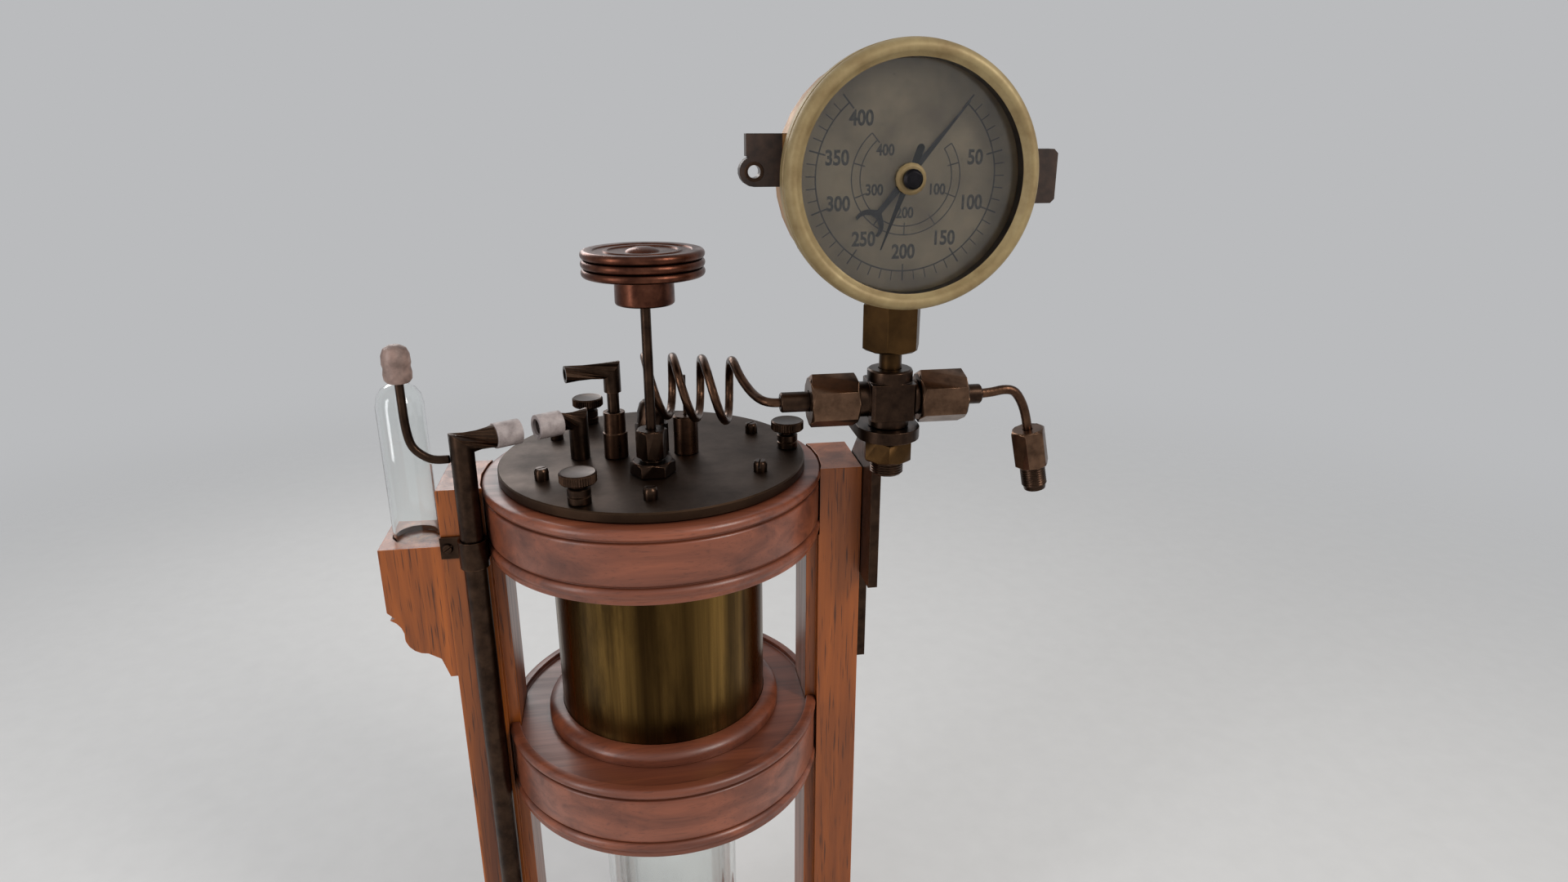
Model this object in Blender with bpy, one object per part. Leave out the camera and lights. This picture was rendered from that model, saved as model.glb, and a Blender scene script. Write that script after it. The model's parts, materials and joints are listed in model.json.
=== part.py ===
"""Bench gas liquefier on a two-post wooden stand, with its pressure gauge.

Metres, +Z up.  The origin is the middle of the base's underside, on the axis of the lid.
+X is to the right and -Y is the front, which the gauge faces.
"""
import math

import bmesh
import bpy
from mathutils import Matrix, Vector

# Clearances
SEAT = 0.0003            # gap left between two pieces that touch
RUNNING = 0.0003         # gap round a piece that turns or slides

# Chamfers
EDGE = 0.001             # on turned edges
FINE_EDGE = 0.0008       # on thin turned edges
HEX_FACE = 0.985         # end circle of a hexagon, as a share of its flats
HEX_SLOPE = 0.6          # slope of the cone that cuts a hexagon's corners
HEX_EDGE = 0.0003

# Mesh fineness
SEG_LARGE = 36
SEG_MEDIUM = 24
SEG_SMALL = 16
SEG_DRILL = 10
HEX_STEPS = 2

# Base
BASE_WIDTH = 0.300
BASE_DEPTH = 0.220
BASE_HEIGHT = 0.036
BASE_CORNER = 0.010
BASE_SLAB = 0.020        # height of the square lower part of the base
BASE_STEP = 0.014        # how far the moulded top is set in
BASE_COVE_STEPS = 4
MORTISE_DEPTH = 0.012

# Lid, upper ring and jacket
LID_TOP = 0.480
LID_RADIUS = 0.0902
LID_THICKNESS = 0.006
RING_RADIUS = 0.100
RING_HEIGHT = 0.0425
BEAD = 0.0062            # height of the bead at a ring's top
OGEE = 0.0098            # height of the moulding at a ring's foot
GROOVE_DEPTH = 0.0030
GROOVE_WIDTH = 0.0020
FRIEZE_INSET = 0.0010
JACKET_RADIUS = 0.0644
JACKET_WALL = 0.0015
COLLAR_RADIUS = 0.0735
COLLAR_HEIGHT = 0.0090

# Lower ring, measured down from the lid's top
LOWER_RING_RADIUS = 0.0988
LOWER_FLOOR_DEPTH = 0.168
LOWER_RING_HEIGHT = 0.0465
LIP_WIDTH = 0.0063
LIP_RISE = 0.003

# Posts
POST_OUTER = 0.1225
POST_WIDTH = 0.026
POST_DEPTH = 0.048
POST_TOP_DROP = 0.0066
STRIP_WIDTH = 0.0065
STRIP_SETBACK = 0.0055

# Glass vacuum flask
FLASK_RADIUS = 0.044
FLASK_WALL = 0.0022
FLASK_LINER_RADIUS = 0.0365
FLASK_LINER_WALL = 0.0018
FLASK_LINER_RISE = 0.004
FLASK_RIM = 0.002
FLASK_ABOVE_FLOOR = 0.006
PAD_THICKNESS = 0.006
PAD_RADIUS = 0.039
PAD_RIM = 0.005

# Heat exchanger inside the jacket
CORE_RADIUS = 0.0466
CORE_WALL = 0.0012
CORE_LENGTH = 0.122
WINDING_TUBE = 0.006
WINDING_CLEARANCE = 0.0004
WINDING_PITCH = 0.0210
WINDING_TURNS = 4
WINDING_BEND = 0.012
WINDING_LEAD = 0.006
LOOP_POINTS = 22

# Expansion valve, its spindle and handwheel
VALVE_X = -0.0013
VALVE_Y = -0.0315
SPINDLE_RADIUS = 0.0028
VALVE_TUBE_RADIUS = 0.006
VALVE_BLOCK_WIDTH = 0.014
VALVE_BLOCK_HEIGHT = 0.014
VALVE_BLOCK_MARGIN = 0.0075
VALVE_BLOCK_DEPTH = 0.128    # from the lid's underside to the block's top
NOZZLE_RADIUS = 0.001
NEEDLE_LENGTH = 0.007
NEEDLE_POINT = 0.0006
SEAT_FLOOR = 0.005           # solid left under the needle
GLAND_FLATS = 0.0225
GLAND_HEIGHT = 0.008
GLAND_NECK = 0.0016
GLAND_NECK_RADIUS = 0.0062
GLAND_NUT_FLATS = 0.0158
GLAND_NUT_HEIGHT = 0.0167
HUB_BOTTOM = 0.0965
HUB_RADIUS = 0.0160
HUB_HEIGHT = 0.0150
WHEEL_RADIUS = 0.033
WHEEL_RIBS = 3
RIB_HEIGHT = 0.0047
RIB_DEPTH = 0.0022
RIB_POINTS = 3
WHEEL_RIM_WIDTH = 0.0065
WHEEL_DISH = 0.0014
WHEEL_BOSS_RADIUS = 0.0062
WHEEL_BOSS_RISE = 0.0012
SPINDLE_SOCKET = 0.020

# Fittings on the lid
SPIGOT_DEPTH = 0.005
INLET_X = -0.0005
INLET_Y = 0.003
INLET_FLATS = 0.0172
INLET_HEX = 0.0195
INLET_HEIGHT = 0.033
INLET_DOME_TOP = 0.0048
SPIGOT_RADIUS = 0.0042
REAR_X = 0.0195
REAR_Y = 0.0015
REAR_RADIUS = 0.0075
REAR_HEIGHT = 0.0235
REAR_PIN_RADIUS = 0.001
REAR_PIN_RISE = 0.0243
REAR_PIN_DEPTH = 0.008
VENT_X = -0.022
VENT_Y = 0.0
VENT_FOOT_RADIUS = 0.0072
VENT_FOOT = 0.0155
VENT_SOCKET_RADIUS = 0.0064
VENT_SOCKET = 0.028
VENT_TUBE_RADIUS = 0.0035
VENT_TUBE_TOP = 0.040
VENT_ARM_RADIUS = 0.0050
VENT_ARM_BORE = 0.0032
VENT_ARM_Z = 0.053
VENT_ARM_LENGTH = 0.027
VENT_ARM_TURN = math.radians(195.7)
RETURN_X = -0.043
RETURN_Y = 0.001
RETURN_RADIUS = 0.00575
RETURN_Z = 0.024
RETURN_ARM = 0.011
SLEEVE_RADIUS = 0.00725
SLEEVE_LENGTH = 0.0148
SLEEVE_BORE = 0.0047
SLEEVE_LIP = 0.0015

# Exhaust pipe on the left post, its branch and the gas tube
EXHAUST_X = -0.1035
EXHAUST_Y = -0.033
EXHAUST_RADIUS = 0.0065
EXHAUST_ARM = 0.018
CLIP_RADIUS = 0.0082
CLIP_TOP_DROP = 0.033
CLIP_HEIGHT = 0.0165
CLIP_PLATE = 0.0015
CLIP_TAB = 0.0195
BRANCH_TUBE = 0.0045
BRANCH_Z = 0.015
BRANCH_REACH = 0.0278
BRANCH_TOP = 0.059
STOPPER_RADIUS = 0.0075
STOPPER_HEIGHT = 0.020
STOPPER_SOCKET = 0.008
CORBEL_REACH = 0.0355
CORBEL_DEPTH = 0.042
CORBEL_TOP_DROP = 0.042
CORBEL_FACE = 0.040
CORBEL_FOOT = 0.0855
CORBEL_TOE = 0.0045
TUBE_OFFSET = 0.018
TUBE_RADIUS = 0.01325
TUBE_WALL = 0.0012
TUBE_RISE = 0.051
TUBE_RECESS = 0.003

# Thumb screws that hold the lid down
THUMB_COUNT = 3
THUMB_CIRCLE = 0.081
THUMB_FOOT_RADIUS = 0.00625
THUMB_FOOT = 0.009
THUMB_NECK_RADIUS = 0.0042
THUMB_KNOB_RADIUS = 0.010
THUMB_KNOB_BOTTOM = 0.0115
THUMB_KNOB = 0.006
THUMB_FLUTES = 10
THUMB_FLUTE_DEPTH = 0.0004
STUD_RADIUS = 0.003
STUD_LENGTH = 0.020

# Gauge bracket and cross fitting
STEM_X = 0.1255
STEM_Y = -0.066
BRACKET_THICKNESS = 0.0057
BRACKET_FRONT = 0.045
BRACKET_LEG_FRONT = 0.020
BRACKET_BACK = 0.014
BRACKET_FOOT_DROP = 0.138
BRACKET_STEP_DROP = 0.0766
BRACKET_BACK_DROP = 0.015
FLANGE_Z = 0.0267
FLANGE_THICKNESS = 0.0065
FLANGE_HALF_WIDTH = 0.017
FLANGE_BACK = 0.030
CROSS_Z = 0.0483
CROSS_BLOCK = 0.024
CROSS_BLOCK_HEIGHT = 0.020
CROSS_BEVEL = 0.0015
STUB_RADIUS = 0.0087
STUB_BOTTOM = 0.0056
SHOULDER_RADIUS = 0.0110
COLLAR_TOP = 0.065
CROSS_COLLAR_RADIUS = 0.01225
LOCK_NUT_FLATS = 0.0245
LOCK_NUT_HEIGHT = 0.0125
NIPPLE_RADIUS = 0.0095
NIPPLE_THREAD_RADIUS = 0.0075
NIPPLE_THREAD = 0.011
UNION_FLATS = 0.0255
UNION_LENGTH = 0.0257
UNION_END_WALL = 0.003
LEFT_UNION_START = 0.0182
RIGHT_UNION_START = 0.0153
FERRULE_RADIUS = 0.0054
LEFT_FERRULE = 0.0154
RIGHT_FERRULE = 0.0102
PIPE_TUBE = 0.005
PIPE_SOCKET = 0.0060

# Coiled pipe from the inlet to the cross
PIPE_COIL_RADIUS = 0.0178
PIPE_COIL_TURNS = 3
PIPE_COIL_PITCH = 0.0183
PIPE_COIL_DRIFT = math.radians(28.0)    # forward of +X, along the coil
PIPE_COIL_TURN = math.radians(5.0)      # of each loop's plane about +Z
PIPE_COIL_LEAN = math.radians(7.5)      # of each loop's top towards the inlet
PIPE_COIL_START = (-0.0007, -0.0032)
PIPE_COIL_Z = 0.0438
PIPE_COIL_CLIMB = 0.0004

# Supply pipe
SUPPLY_REACH = 0.0292
SUPPLY_DROP = 0.0217
SUPPLY_LEAN = math.radians(12.0)
SUPPLY_NUT_FLATS = 0.017
SUPPLY_NUT = 0.022
SUPPLY_NIPPLE_RADIUS = 0.007
SUPPLY_NIPPLE = 0.014

# Pressure gauge, measured from its centre, with depth forward of the stem's axis
GAUGE_Z = 0.163
CASE_RADIUS = 0.0595
CASE_WALL = 0.002
CASE_BACK = 0.016
CASE_FRONT = 0.0207
BEZEL_RADIUS = 0.0622
BEZEL_OPENING = 0.0537
BEZEL_SKIRT = 0.018
BEZEL_FRONT = 0.033
BEZEL_SHOULDER = 0.027
BEZEL_LIP = 0.0300
GLASS_THICKNESS = 0.002
DIAL_DEPTH = 0.014
DIAL_THICKNESS = 0.001
LUG_REACH = 0.078
LUG_BACK = 0.005
LUG_THICKNESS = 0.008
LUG_HALF_HEIGHT = 0.013
LUG_CORNER = 0.002
EYE_X = -0.0735
EYE_Y = 0.0033
EYE_RADIUS = 0.0034
EYE_RIM = 0.0070
EYE_BLOCK_LEFT = -0.0772
EYE_BLOCK_TOP = 0.0205
STEM_NECK_RADIUS = 0.006
STEM_FLATS = 0.028
STEM_HEX_BOTTOM = 0.075
STEM_HEX_HEIGHT = 0.026
STEM_BLOCK_RADIUS = 0.009
STEM_BLOCK_TOP = 0.043       # below the gauge's centre
BOURDON_RADIUS = 0.051
BOURDON_THICKNESS = 0.005
BOURDON_WIDTH = 0.012
BOURDON_DEPTH = -0.004
BOURDON_SWEEP = math.radians(250.0)
BOURDON_POINTS = 20
PLATE_BACK = -0.010
PLATE_FRONT = 0.002
PLATE_THICKNESS = 0.0015
PLATE_HALF_WIDTH = 0.033
PLATE_HEAD = 0.021
PLATE_HEAD_HALF = 0.006
PLATE_SHOULDER = 0.022
PILLAR_RADIUS = 0.0025
PILLAR_INSET = 0.005
ARBOR_RADIUS = 0.0015
GEAR_MODULE = 0.0008
PINION_TEETH = 10
SECTOR_TEETH = 80            # teeth of the whole wheel that the sector is cut from
SECTOR_FIRST = -10
SECTOR_LAST = 2
GEAR_BACKLASH = 0.00015
ADDENDUM = 0.70              # in modules
DEDENDUM = 1.10
TOOTH_TIP = 0.11             # half a tooth, as a share of the pitch
TOOTH_ROOT = 0.25
PINION_BACK = -0.005
PINION_FRONT = -0.001
SECTOR_BACK = -0.0042
SECTOR_FRONT = -0.0024
SECTOR_RIM = 0.004
SECTOR_HUB_RADIUS = 0.005
POINTER_DEPTH = 0.0166
POINTER_THICKNESS = 0.0006
POINTER_LENGTH = 0.046
POINTER_TAIL = 0.021
POINTER_HUB_RADIUS = 0.0045
POINTER_ROOT_HALF = 0.0016
POINTER_TIP_HALF = 0.0003
CRESCENT_RADIUS = 0.0075
CRESCENT_WIDTH = 0.0024
DIAL_ZERO = math.radians(50.0)
DIAL_PER_UNIT = math.radians(0.7)
MAXIMUM_READING = 230.0
MAXIMUM_DEPTH = 0.0196
MAXIMUM_LENGTH = 0.036
MAXIMUM_TAIL = 0.017
MAXIMUM_TAIL_HALF = 0.0019
BUSH_RADIUS = 0.0075
BUSH_RISE = 0.0026
BUSH_BORE = 0.0022
BUSH_SPIGOT = 0.0027
KNOB_RADIUS = 0.0048
KNOB_SHAFT = 0.0019
KNOB_FRONT = 0.0295
KNOB_EDGE = 0.0012

# Levels and radii that follow from the sizes above
LID_BOTTOM = LID_TOP - LID_THICKNESS
RING_TOP = LID_BOTTOM - SEAT
RING_BOTTOM = RING_TOP - RING_HEIGHT
LOWER_FLOOR = LID_TOP - LOWER_FLOOR_DEPTH
LOWER_BOTTOM = LOWER_FLOOR + LIP_RISE - LOWER_RING_HEIGHT
POST_TOP = LID_TOP - POST_TOP_DROP
POST_STEP = POST_OUTER - POST_WIDTH
POST_INNER = POST_STEP - STRIP_WIDTH
FLASK_TOP = LOWER_FLOOR + FLASK_ABOVE_FLOOR
FLASK_CENTRE = BASE_HEIGHT + SEAT + PAD_THICKNESS + SEAT + FLASK_RADIUS
WINDING_RADIUS = CORE_RADIUS + WINDING_CLEARANCE + WINDING_TUBE / 2
VALVE_BLOCK_TOP = LID_BOTTOM - SEAT - VALVE_BLOCK_DEPTH
VALVE_BORE = SPINDLE_RADIUS + RUNNING
SPIGOT_HOLE = SPIGOT_RADIUS + SEAT
STUD_HOLE = STUD_RADIUS + RUNNING
GAUGE_CENTRE = LID_TOP + GAUGE_Z
SECTOR_PIVOT = GEAR_MODULE * (PINION_TEETH + SECTOR_TEETH) / 2 + GEAR_BACKLASH
ARBOR_HOLE = ARBOR_RADIUS + RUNNING
GLASS_BACK = CASE_FRONT + SEAT
GLASS_FRONT = GLASS_BACK + GLASS_THICKNESS
WHEEL_BOTTOM = HUB_BOTTOM + HUB_HEIGHT
WHEEL_TOP = WHEEL_BOTTOM + WHEEL_RIBS * RIB_HEIGHT


# Finishes: colour, roughness and metallic value
FINISHES = {
    "mahogany": ((0.20, 0.062, 0.032), 0.38, 0.0),
    "oak": ((0.30, 0.105, 0.030), 0.45, 0.0),
    "dark_bronze": ((0.040, 0.027, 0.020), 0.42, 0.9),
    "lid_bronze": ((0.030, 0.024, 0.020), 0.50, 0.8),
    "copper_bronze": ((0.16, 0.055, 0.030), 0.35, 0.9),
    "aged_brass": ((0.17, 0.115, 0.028), 0.38, 1.0),
    "pale_brass": ((0.40, 0.30, 0.11), 0.42, 0.9),
    "case_brass": ((0.46, 0.26, 0.08), 0.40, 0.9),
    "clear_glass": ((0.90, 0.95, 0.95), 0.05, 0.0),
    "dial_enamel": ((0.26, 0.22, 0.16), 0.55, 0.0),
    "blued_steel": ((0.025, 0.024, 0.026), 0.40, 0.8),
    "grey_rubber": ((0.19, 0.16, 0.155), 0.70, 0.0),
    "pink_rubber": ((0.23, 0.165, 0.145), 0.70, 0.0),
    "cork": ((0.36, 0.22, 0.11), 0.85, 0.0),
}


def material(finish):
    """The named finish as a Principled material, made once."""
    found = bpy.data.materials.get(finish)
    if found:
        return found
    colour, roughness, metallic = FINISHES[finish]
    made = bpy.data.materials.new(finish)
    made.use_nodes = True
    shader = made.node_tree.nodes["Principled BSDF"]
    shader.inputs["Base Color"].default_value = (*colour, 1.0)
    shader.inputs["Roughness"].default_value = roughness
    shader.inputs["Metallic"].default_value = metallic
    if finish == "clear_glass":
        shader.inputs["Transmission Weight"].default_value = 1.0
    return made


# Outlines and rings
def ring(radius, z, count):
    """A circle of points at height z, or the one point on the axis."""
    if radius <= 0.0:
        return [Vector((0.0, 0.0, z))]
    step = 2 * math.pi / count
    return [Vector((radius * math.cos(i * step), radius * math.sin(i * step), z)) for i in range(count)]


def lathe(profile, count):
    """Rings of a turned shape from its (radius, height) points."""
    return [ring(radius, z, count) for radius, z in profile]


def drill(radius, low, high, count, x=0.0, y=0.0):
    """Rings of a straight drill whose flats, not its corners, clear the radius."""
    reach = radius / math.cos(math.pi / count)
    rings = lathe([(0, low), (reach, low), (reach, high), (0, high)], count)
    return [[point + Vector((x, y, 0)) for point in points] for points in rings]


def hexagon(flats, z, lift=0.0):
    """A hexagon ring at z whose corners move by lift, as a chamfer cone cuts them."""
    points = []
    inner = flats / 2
    for side in range(6):
        for step in range(HEX_STEPS):
            across = math.radians(-30 + 60 * step / HEX_STEPS)
            reach = inner / math.cos(across)
            angle = across + math.radians(30 + 60 * side)
            height = z + lift * (reach - inner) / inner
            points.append(Vector((reach * math.cos(angle), reach * math.sin(angle), height)))
    return points


def hex_rings(flats, low, high, chamfer_low=True, chamfer_high=True):
    """Rings of a hexagon bar with its ends chamfered to a circle."""
    count = 6 * HEX_STEPS
    face = flats / 2 * HEX_FACE
    slope = flats / 2 * HEX_SLOPE
    rings = []
    if chamfer_low:
        rings.append(ring(face, low, count))
        rings.append(hexagon(flats, low + HEX_EDGE, slope))
    else:
        rings.append(hexagon(flats, low))
    if chamfer_high:
        rings.append(hexagon(flats, high - HEX_EDGE, -slope))
        rings.append(ring(face, high, count))
    else:
        rings.append(hexagon(flats, high))
    return rings


def arc(centre, radius, start, end, steps):
    """Points on an arc, with its angles in degrees and both ends included."""
    points = []
    for i in range(steps + 1):
        angle = math.radians(start + (end - start) * i / steps)
        points.append((centre[0] + radius * math.cos(angle), centre[1] + radius * math.sin(angle)))
    return points


def prism(outline, low, high, axis="z"):
    """Two rings of an outline pushed along an axis."""
    place = {
        "x": lambda a, b, t: Vector((t, a, b)),
        "y": lambda a, b, t: Vector((a, t, b)),
        "z": lambda a, b, t: Vector((a, b, t)),
    }[axis]
    return [[place(a, b, t) for a, b in outline] for t in (low, high)]


def box(low, high):
    """Two rings of a plain block."""
    outline = [(low[0], low[1]), (high[0], low[1]), (high[0], high[1]), (low[0], high[1])]
    return prism(outline, low[2], high[2])


def rounded_rectangle(width, depth, corner, steps=3):
    """A rectangle outline with round corners."""
    points = []
    for quarter, (sx, sy) in enumerate(((1, 1), (-1, 1), (-1, -1), (1, -1))):
        centre = (sx * (width / 2 - corner), sy * (depth / 2 - corner))
        points += arc(centre, corner, 90 * quarter, 90 * quarter + 90, steps)
    return points


def sweep(path, radii, count):
    """Rings of a pipe along a path, mitred where the path turns."""
    path = [Vector(point) for point in path]
    rings = []
    side = None
    for i, point in enumerate(path):
        before = next((point - p for p in reversed(path[:i]) if (point - p).length > 1e-7), None)
        after = next((p - point for p in path[i + 1:] if (p - point).length > 1e-7), None)
        into = (before or after).normalized()
        out = (after or before).normalized()
        if side is None:
            side = into.orthogonal().normalized()
        side = (side - into * side.dot(into)).normalized()
        other = into.cross(side)
        mitre = (into + out).normalized()
        ring_points = []
        for k in range(count):
            angle = 2 * math.pi * k / count
            spoke = (side * math.cos(angle) + other * math.sin(angle)) * radii[i]
            ring_points.append(point + spoke - into * (spoke.dot(mitre) / into.dot(mitre)))
        rings.append(ring_points)
        side = (side - out * side.dot(out)).normalized()
    return rings


def smooth_route(points, per_span):
    """Points on a smooth curve through the given points."""
    points = [Vector(point) for point in points]
    padded = [points[0] * 2 - points[1]] + points + [points[-1] * 2 - points[-2]]
    route = []
    for a, b, c, d in zip(padded, padded[1:], padded[2:], padded[3:]):
        for step in range(per_span):
            t = step / per_span
            route.append(0.5 * (2 * b + (c - a) * t + (2 * a - 5 * b + 4 * c - d) * t * t
                                + (3 * b - a - 3 * c + d) * t ** 3))
    return route + [points[-1]]


def least_gap(points, diameter):
    """The least gap that a wound tube leaves to itself, measured on its points."""
    apart = 3 * diameter
    travelled = [0.0]
    for a, b in zip(points, points[1:]):
        travelled.append(travelled[-1] + (b - a).length)
    least = math.inf
    for i, point in enumerate(points):
        for j in range(i + 1, len(points)):
            if travelled[j] - travelled[i] > apart:
                least = min(least, (points[j] - point).length - diameter)
    return least


# Objects
def shell(bm, rings, closed=False):
    """Join rings into one closed skin, capping open ends."""
    loops = [[bm.verts.new(point) for point in points] for points in rings]
    pairs = list(zip(loops, loops[1:]))
    if closed:
        pairs.append((loops[-1], loops[0]))
    for first, second in pairs:
        count = max(len(first), len(second))
        for i in range(count):
            j = (i + 1) % count
            corners = [first[i % len(first)], first[j % len(first)], second[j % len(second)],
                       second[i % len(second)]]
            face = []
            for corner in corners:
                if corner not in face:
                    face.append(corner)
            if len(face) > 2:
                bm.faces.new(face)
    if not closed:
        for loop in (loops[0], loops[-1]):
            if len(loop) > 2:
                bm.faces.new(loop)


def mesh_object(name, ring_sets, closed, place, turn, parent):
    """A mesh object made of one or more shells."""
    bm = bmesh.new()
    for rings in ring_sets:
        shell(bm, rings, closed)
    bmesh.ops.recalc_face_normals(bm, faces=bm.faces)
    mesh = bpy.data.meshes.new(name)
    bm.to_mesh(mesh)
    bm.free()
    made = bpy.data.objects.new(name, mesh)
    bpy.context.scene.collection.objects.link(made)
    made.location = place
    made.rotation_euler = turn
    made.parent = parent
    return made


def piece(name, rings, finish, place=(0, 0, 0), turn=(0, 0, 0), closed=False, parent=None):
    """A named piece from one shell or a list of separate shells."""
    ring_sets = rings if isinstance(rings[0][0], list) else [rings]
    made = mesh_object(name, ring_sets, closed, place, turn, parent)
    made.data.shade_smooth()
    made.data.set_sharp_from_angle(angle=math.radians(32))
    made.data.materials.append(material(finish))
    return made


def tool(name, rings, place=(0, 0, 0), turn=(0, 0, 0), closed=False, parent=None):
    """A hidden shape that a Boolean uses."""
    ring_sets = rings if isinstance(rings[0][0], list) else [rings]
    made = mesh_object(name, ring_sets, closed, place, turn, parent)
    made.hide_render = True
    made.display_type = "WIRE"
    return made


def combine(target, other, operation):
    """Add an exact Boolean to a piece."""
    step = target.modifiers.new(operation.lower(), "BOOLEAN")
    step.operation = operation
    step.solver = "EXACT"
    step.object = other


def cut(target, other):
    combine(target, other, "DIFFERENCE")


def join(target, other):
    combine(target, other, "UNION")


def wire(name, points, diameter, resolution, finish):
    """A bent pipe as a curve with a round bevel and filled caps."""
    curve = bpy.data.curves.new(name, "CURVE")
    curve.dimensions = "3D"
    curve.bevel_depth = diameter / 2
    curve.bevel_resolution = resolution
    curve.use_fill_caps = True
    spline = curve.splines.new("POLY")
    spline.points.add(len(points) - 1)
    for target, point in zip(spline.points, points):
        target.co = (*point, 1.0)
    spline.use_smooth = True
    made = bpy.data.objects.new(name, curve)
    bpy.context.scene.collection.objects.link(made)
    curve.materials.append(material(finish))
    return made


# Wooden stand
def post_outline(side, grow=0.0):
    """Plan of a post: a stile with a narrower strip on its inner face."""
    half = POST_DEPTH / 2 + grow
    strip = POST_DEPTH / 2 - STRIP_SETBACK + grow
    outline = [
        (POST_OUTER + grow, -half), (POST_OUTER + grow, half), (POST_STEP - grow, half),
        (POST_STEP - grow, strip), (POST_INNER - grow, strip), (POST_INNER - grow, -strip),
        (POST_STEP - grow, -strip), (POST_STEP - grow, -half),
    ]
    return [(side * x, y) for x, y in outline]


def moulding(radius, top, height):
    """Turned outer side of a wooden ring, from its top edge to its foot."""
    groove = radius - GROOVE_DEPTH
    frieze = radius - FRIEZE_INSET
    foot = top - height
    side = [(groove, top)]
    side += arc((radius - BEAD / 2, top - BEAD / 2), BEAD / 2, 60, -60, 2)
    side += [(groove, top - BEAD), (groove, top - BEAD - GROOVE_WIDTH), (frieze, top - BEAD - GROOVE_WIDTH)]
    top_groove = foot + OGEE + GROOVE_WIDTH
    side += [(frieze, top_groove), (groove, top_groove), (groove, foot + OGEE)]
    side += arc((radius - OGEE / 3, foot + OGEE * 2 / 3), OGEE / 3, 70, -30, 2)
    side += [(groove, foot)]
    return side


def make_base():
    rise = BASE_HEIGHT - BASE_SLAB
    levels = [(0.0, 0.0), (0.0, BASE_SLAB)]
    for i in range(1, BASE_COVE_STEPS + 1):
        angle = math.pi / 2 * i / BASE_COVE_STEPS
        levels.append((BASE_STEP * math.sin(angle), BASE_HEIGHT - rise * math.cos(angle)))
    rings = []
    for inset, z in levels:
        outline = rounded_rectangle(BASE_WIDTH - 2 * inset, BASE_DEPTH - 2 * inset, BASE_CORNER)
        rings.append([Vector((x, y, z)) for x, y in outline])
    base = piece("base_plinth", rings, "mahogany")
    for name, side in (("left", -1), ("right", 1)):
        mortise = prism(post_outline(side, SEAT), BASE_HEIGHT - MORTISE_DEPTH, BASE_HEIGHT + MORTISE_DEPTH)
        cut(base, tool(f"{name}_mortise", mortise))
    return base


def make_posts():
    low = BASE_HEIGHT - MORTISE_DEPTH + SEAT
    notch = lathe([(0, RING_BOTTOM - SEAT), (RING_RADIUS + SEAT, RING_BOTTOM - SEAT),
                   (RING_RADIUS + SEAT, LID_TOP), (0, LID_TOP)], SEG_LARGE)
    seat = tool("ring_notch", notch)
    for name, side in (("left_post", -1), ("right_post", 1)):
        post = piece(name, prism(post_outline(side), low, POST_TOP), "oak")
        cut(post, seat)


def make_rings():
    bore = JACKET_RADIUS + SEAT
    profile = [(bore, RING_BOTTOM), (bore, RING_TOP)] + moulding(RING_RADIUS, RING_TOP, RING_HEIGHT)
    upper = piece("upper_ring", lathe(profile, SEG_LARGE), "mahogany", closed=True)
    floor = LID_TOP - STUD_LENGTH - SEAT
    holes = [drill(STUD_HOLE, floor, LID_TOP, SEG_DRILL, x, y) for x, y in thumb_places()]
    cut(upper, tool("stud_holes", holes))

    top = LOWER_FLOOR + LIP_RISE
    lip = LOWER_RING_RADIUS - LIP_WIDTH
    bore = FLASK_RADIUS + SEAT
    profile = [(bore, LOWER_BOTTOM), (bore, LOWER_FLOOR), (lip, LOWER_FLOOR), (lip, top)]
    profile += moulding(LOWER_RING_RADIUS, top, LOWER_RING_HEIGHT)
    lower = piece("lower_ring", lathe(profile, SEG_LARGE), "mahogany", closed=True)
    for name, side in (("left", -1), ("right", 1)):
        housing = prism(post_outline(side, SEAT), LOWER_BOTTOM - LIP_RISE, top + LIP_RISE)
        cut(lower, tool(f"{name}_housing", housing))


def make_jacket():
    low = LOWER_FLOOR + SEAT
    high = LID_BOTTOM - SEAT
    inner = JACKET_RADIUS - JACKET_WALL
    piece("brass_jacket", lathe([(JACKET_RADIUS, low), (JACKET_RADIUS, high), (inner, high), (inner, low)],
                                SEG_LARGE), "aged_brass", closed=True)
    bore = JACKET_RADIUS + SEAT
    bead = COLLAR_RADIUS - bore
    profile = [(bore, low), (COLLAR_RADIUS, low)]
    profile += [(bore + bead * math.cos(a), low + COLLAR_HEIGHT * (0.45 + 0.55 * math.sin(a)))
                for a in (math.radians(30), math.radians(60), math.radians(80))]
    profile += [(bore, low + COLLAR_HEIGHT)]
    piece("jacket_collar", lathe(profile, SEG_LARGE), "mahogany", closed=True)


def make_lid():
    edge = 0.0008
    profile = [(0, LID_BOTTOM), (LID_RADIUS, LID_BOTTOM), (LID_RADIUS, LID_TOP - edge),
               (LID_RADIUS - edge, LID_TOP), (0, LID_TOP)]
    lid = piece("lid_plate", lathe(profile, SEG_LARGE), "lid_bronze")
    holes = [(x, y, STUD_HOLE) for x, y in thumb_places()]
    holes += [(x, y, SPIGOT_HOLE) for x, y in ((INLET_X, INLET_Y), (REAR_X, REAR_Y), (VENT_X, VENT_Y),
                                               (RETURN_X, RETURN_Y))]
    holes += [(VALVE_X, VALVE_Y, GLAND_NECK_RADIUS + SEAT)]
    drills = [drill(radius, LID_BOTTOM - SEAT, LID_TOP + SEAT, SEG_DRILL, x, y) for x, y, radius in holes]
    cut(lid, tool("lid_holes", drills))


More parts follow.
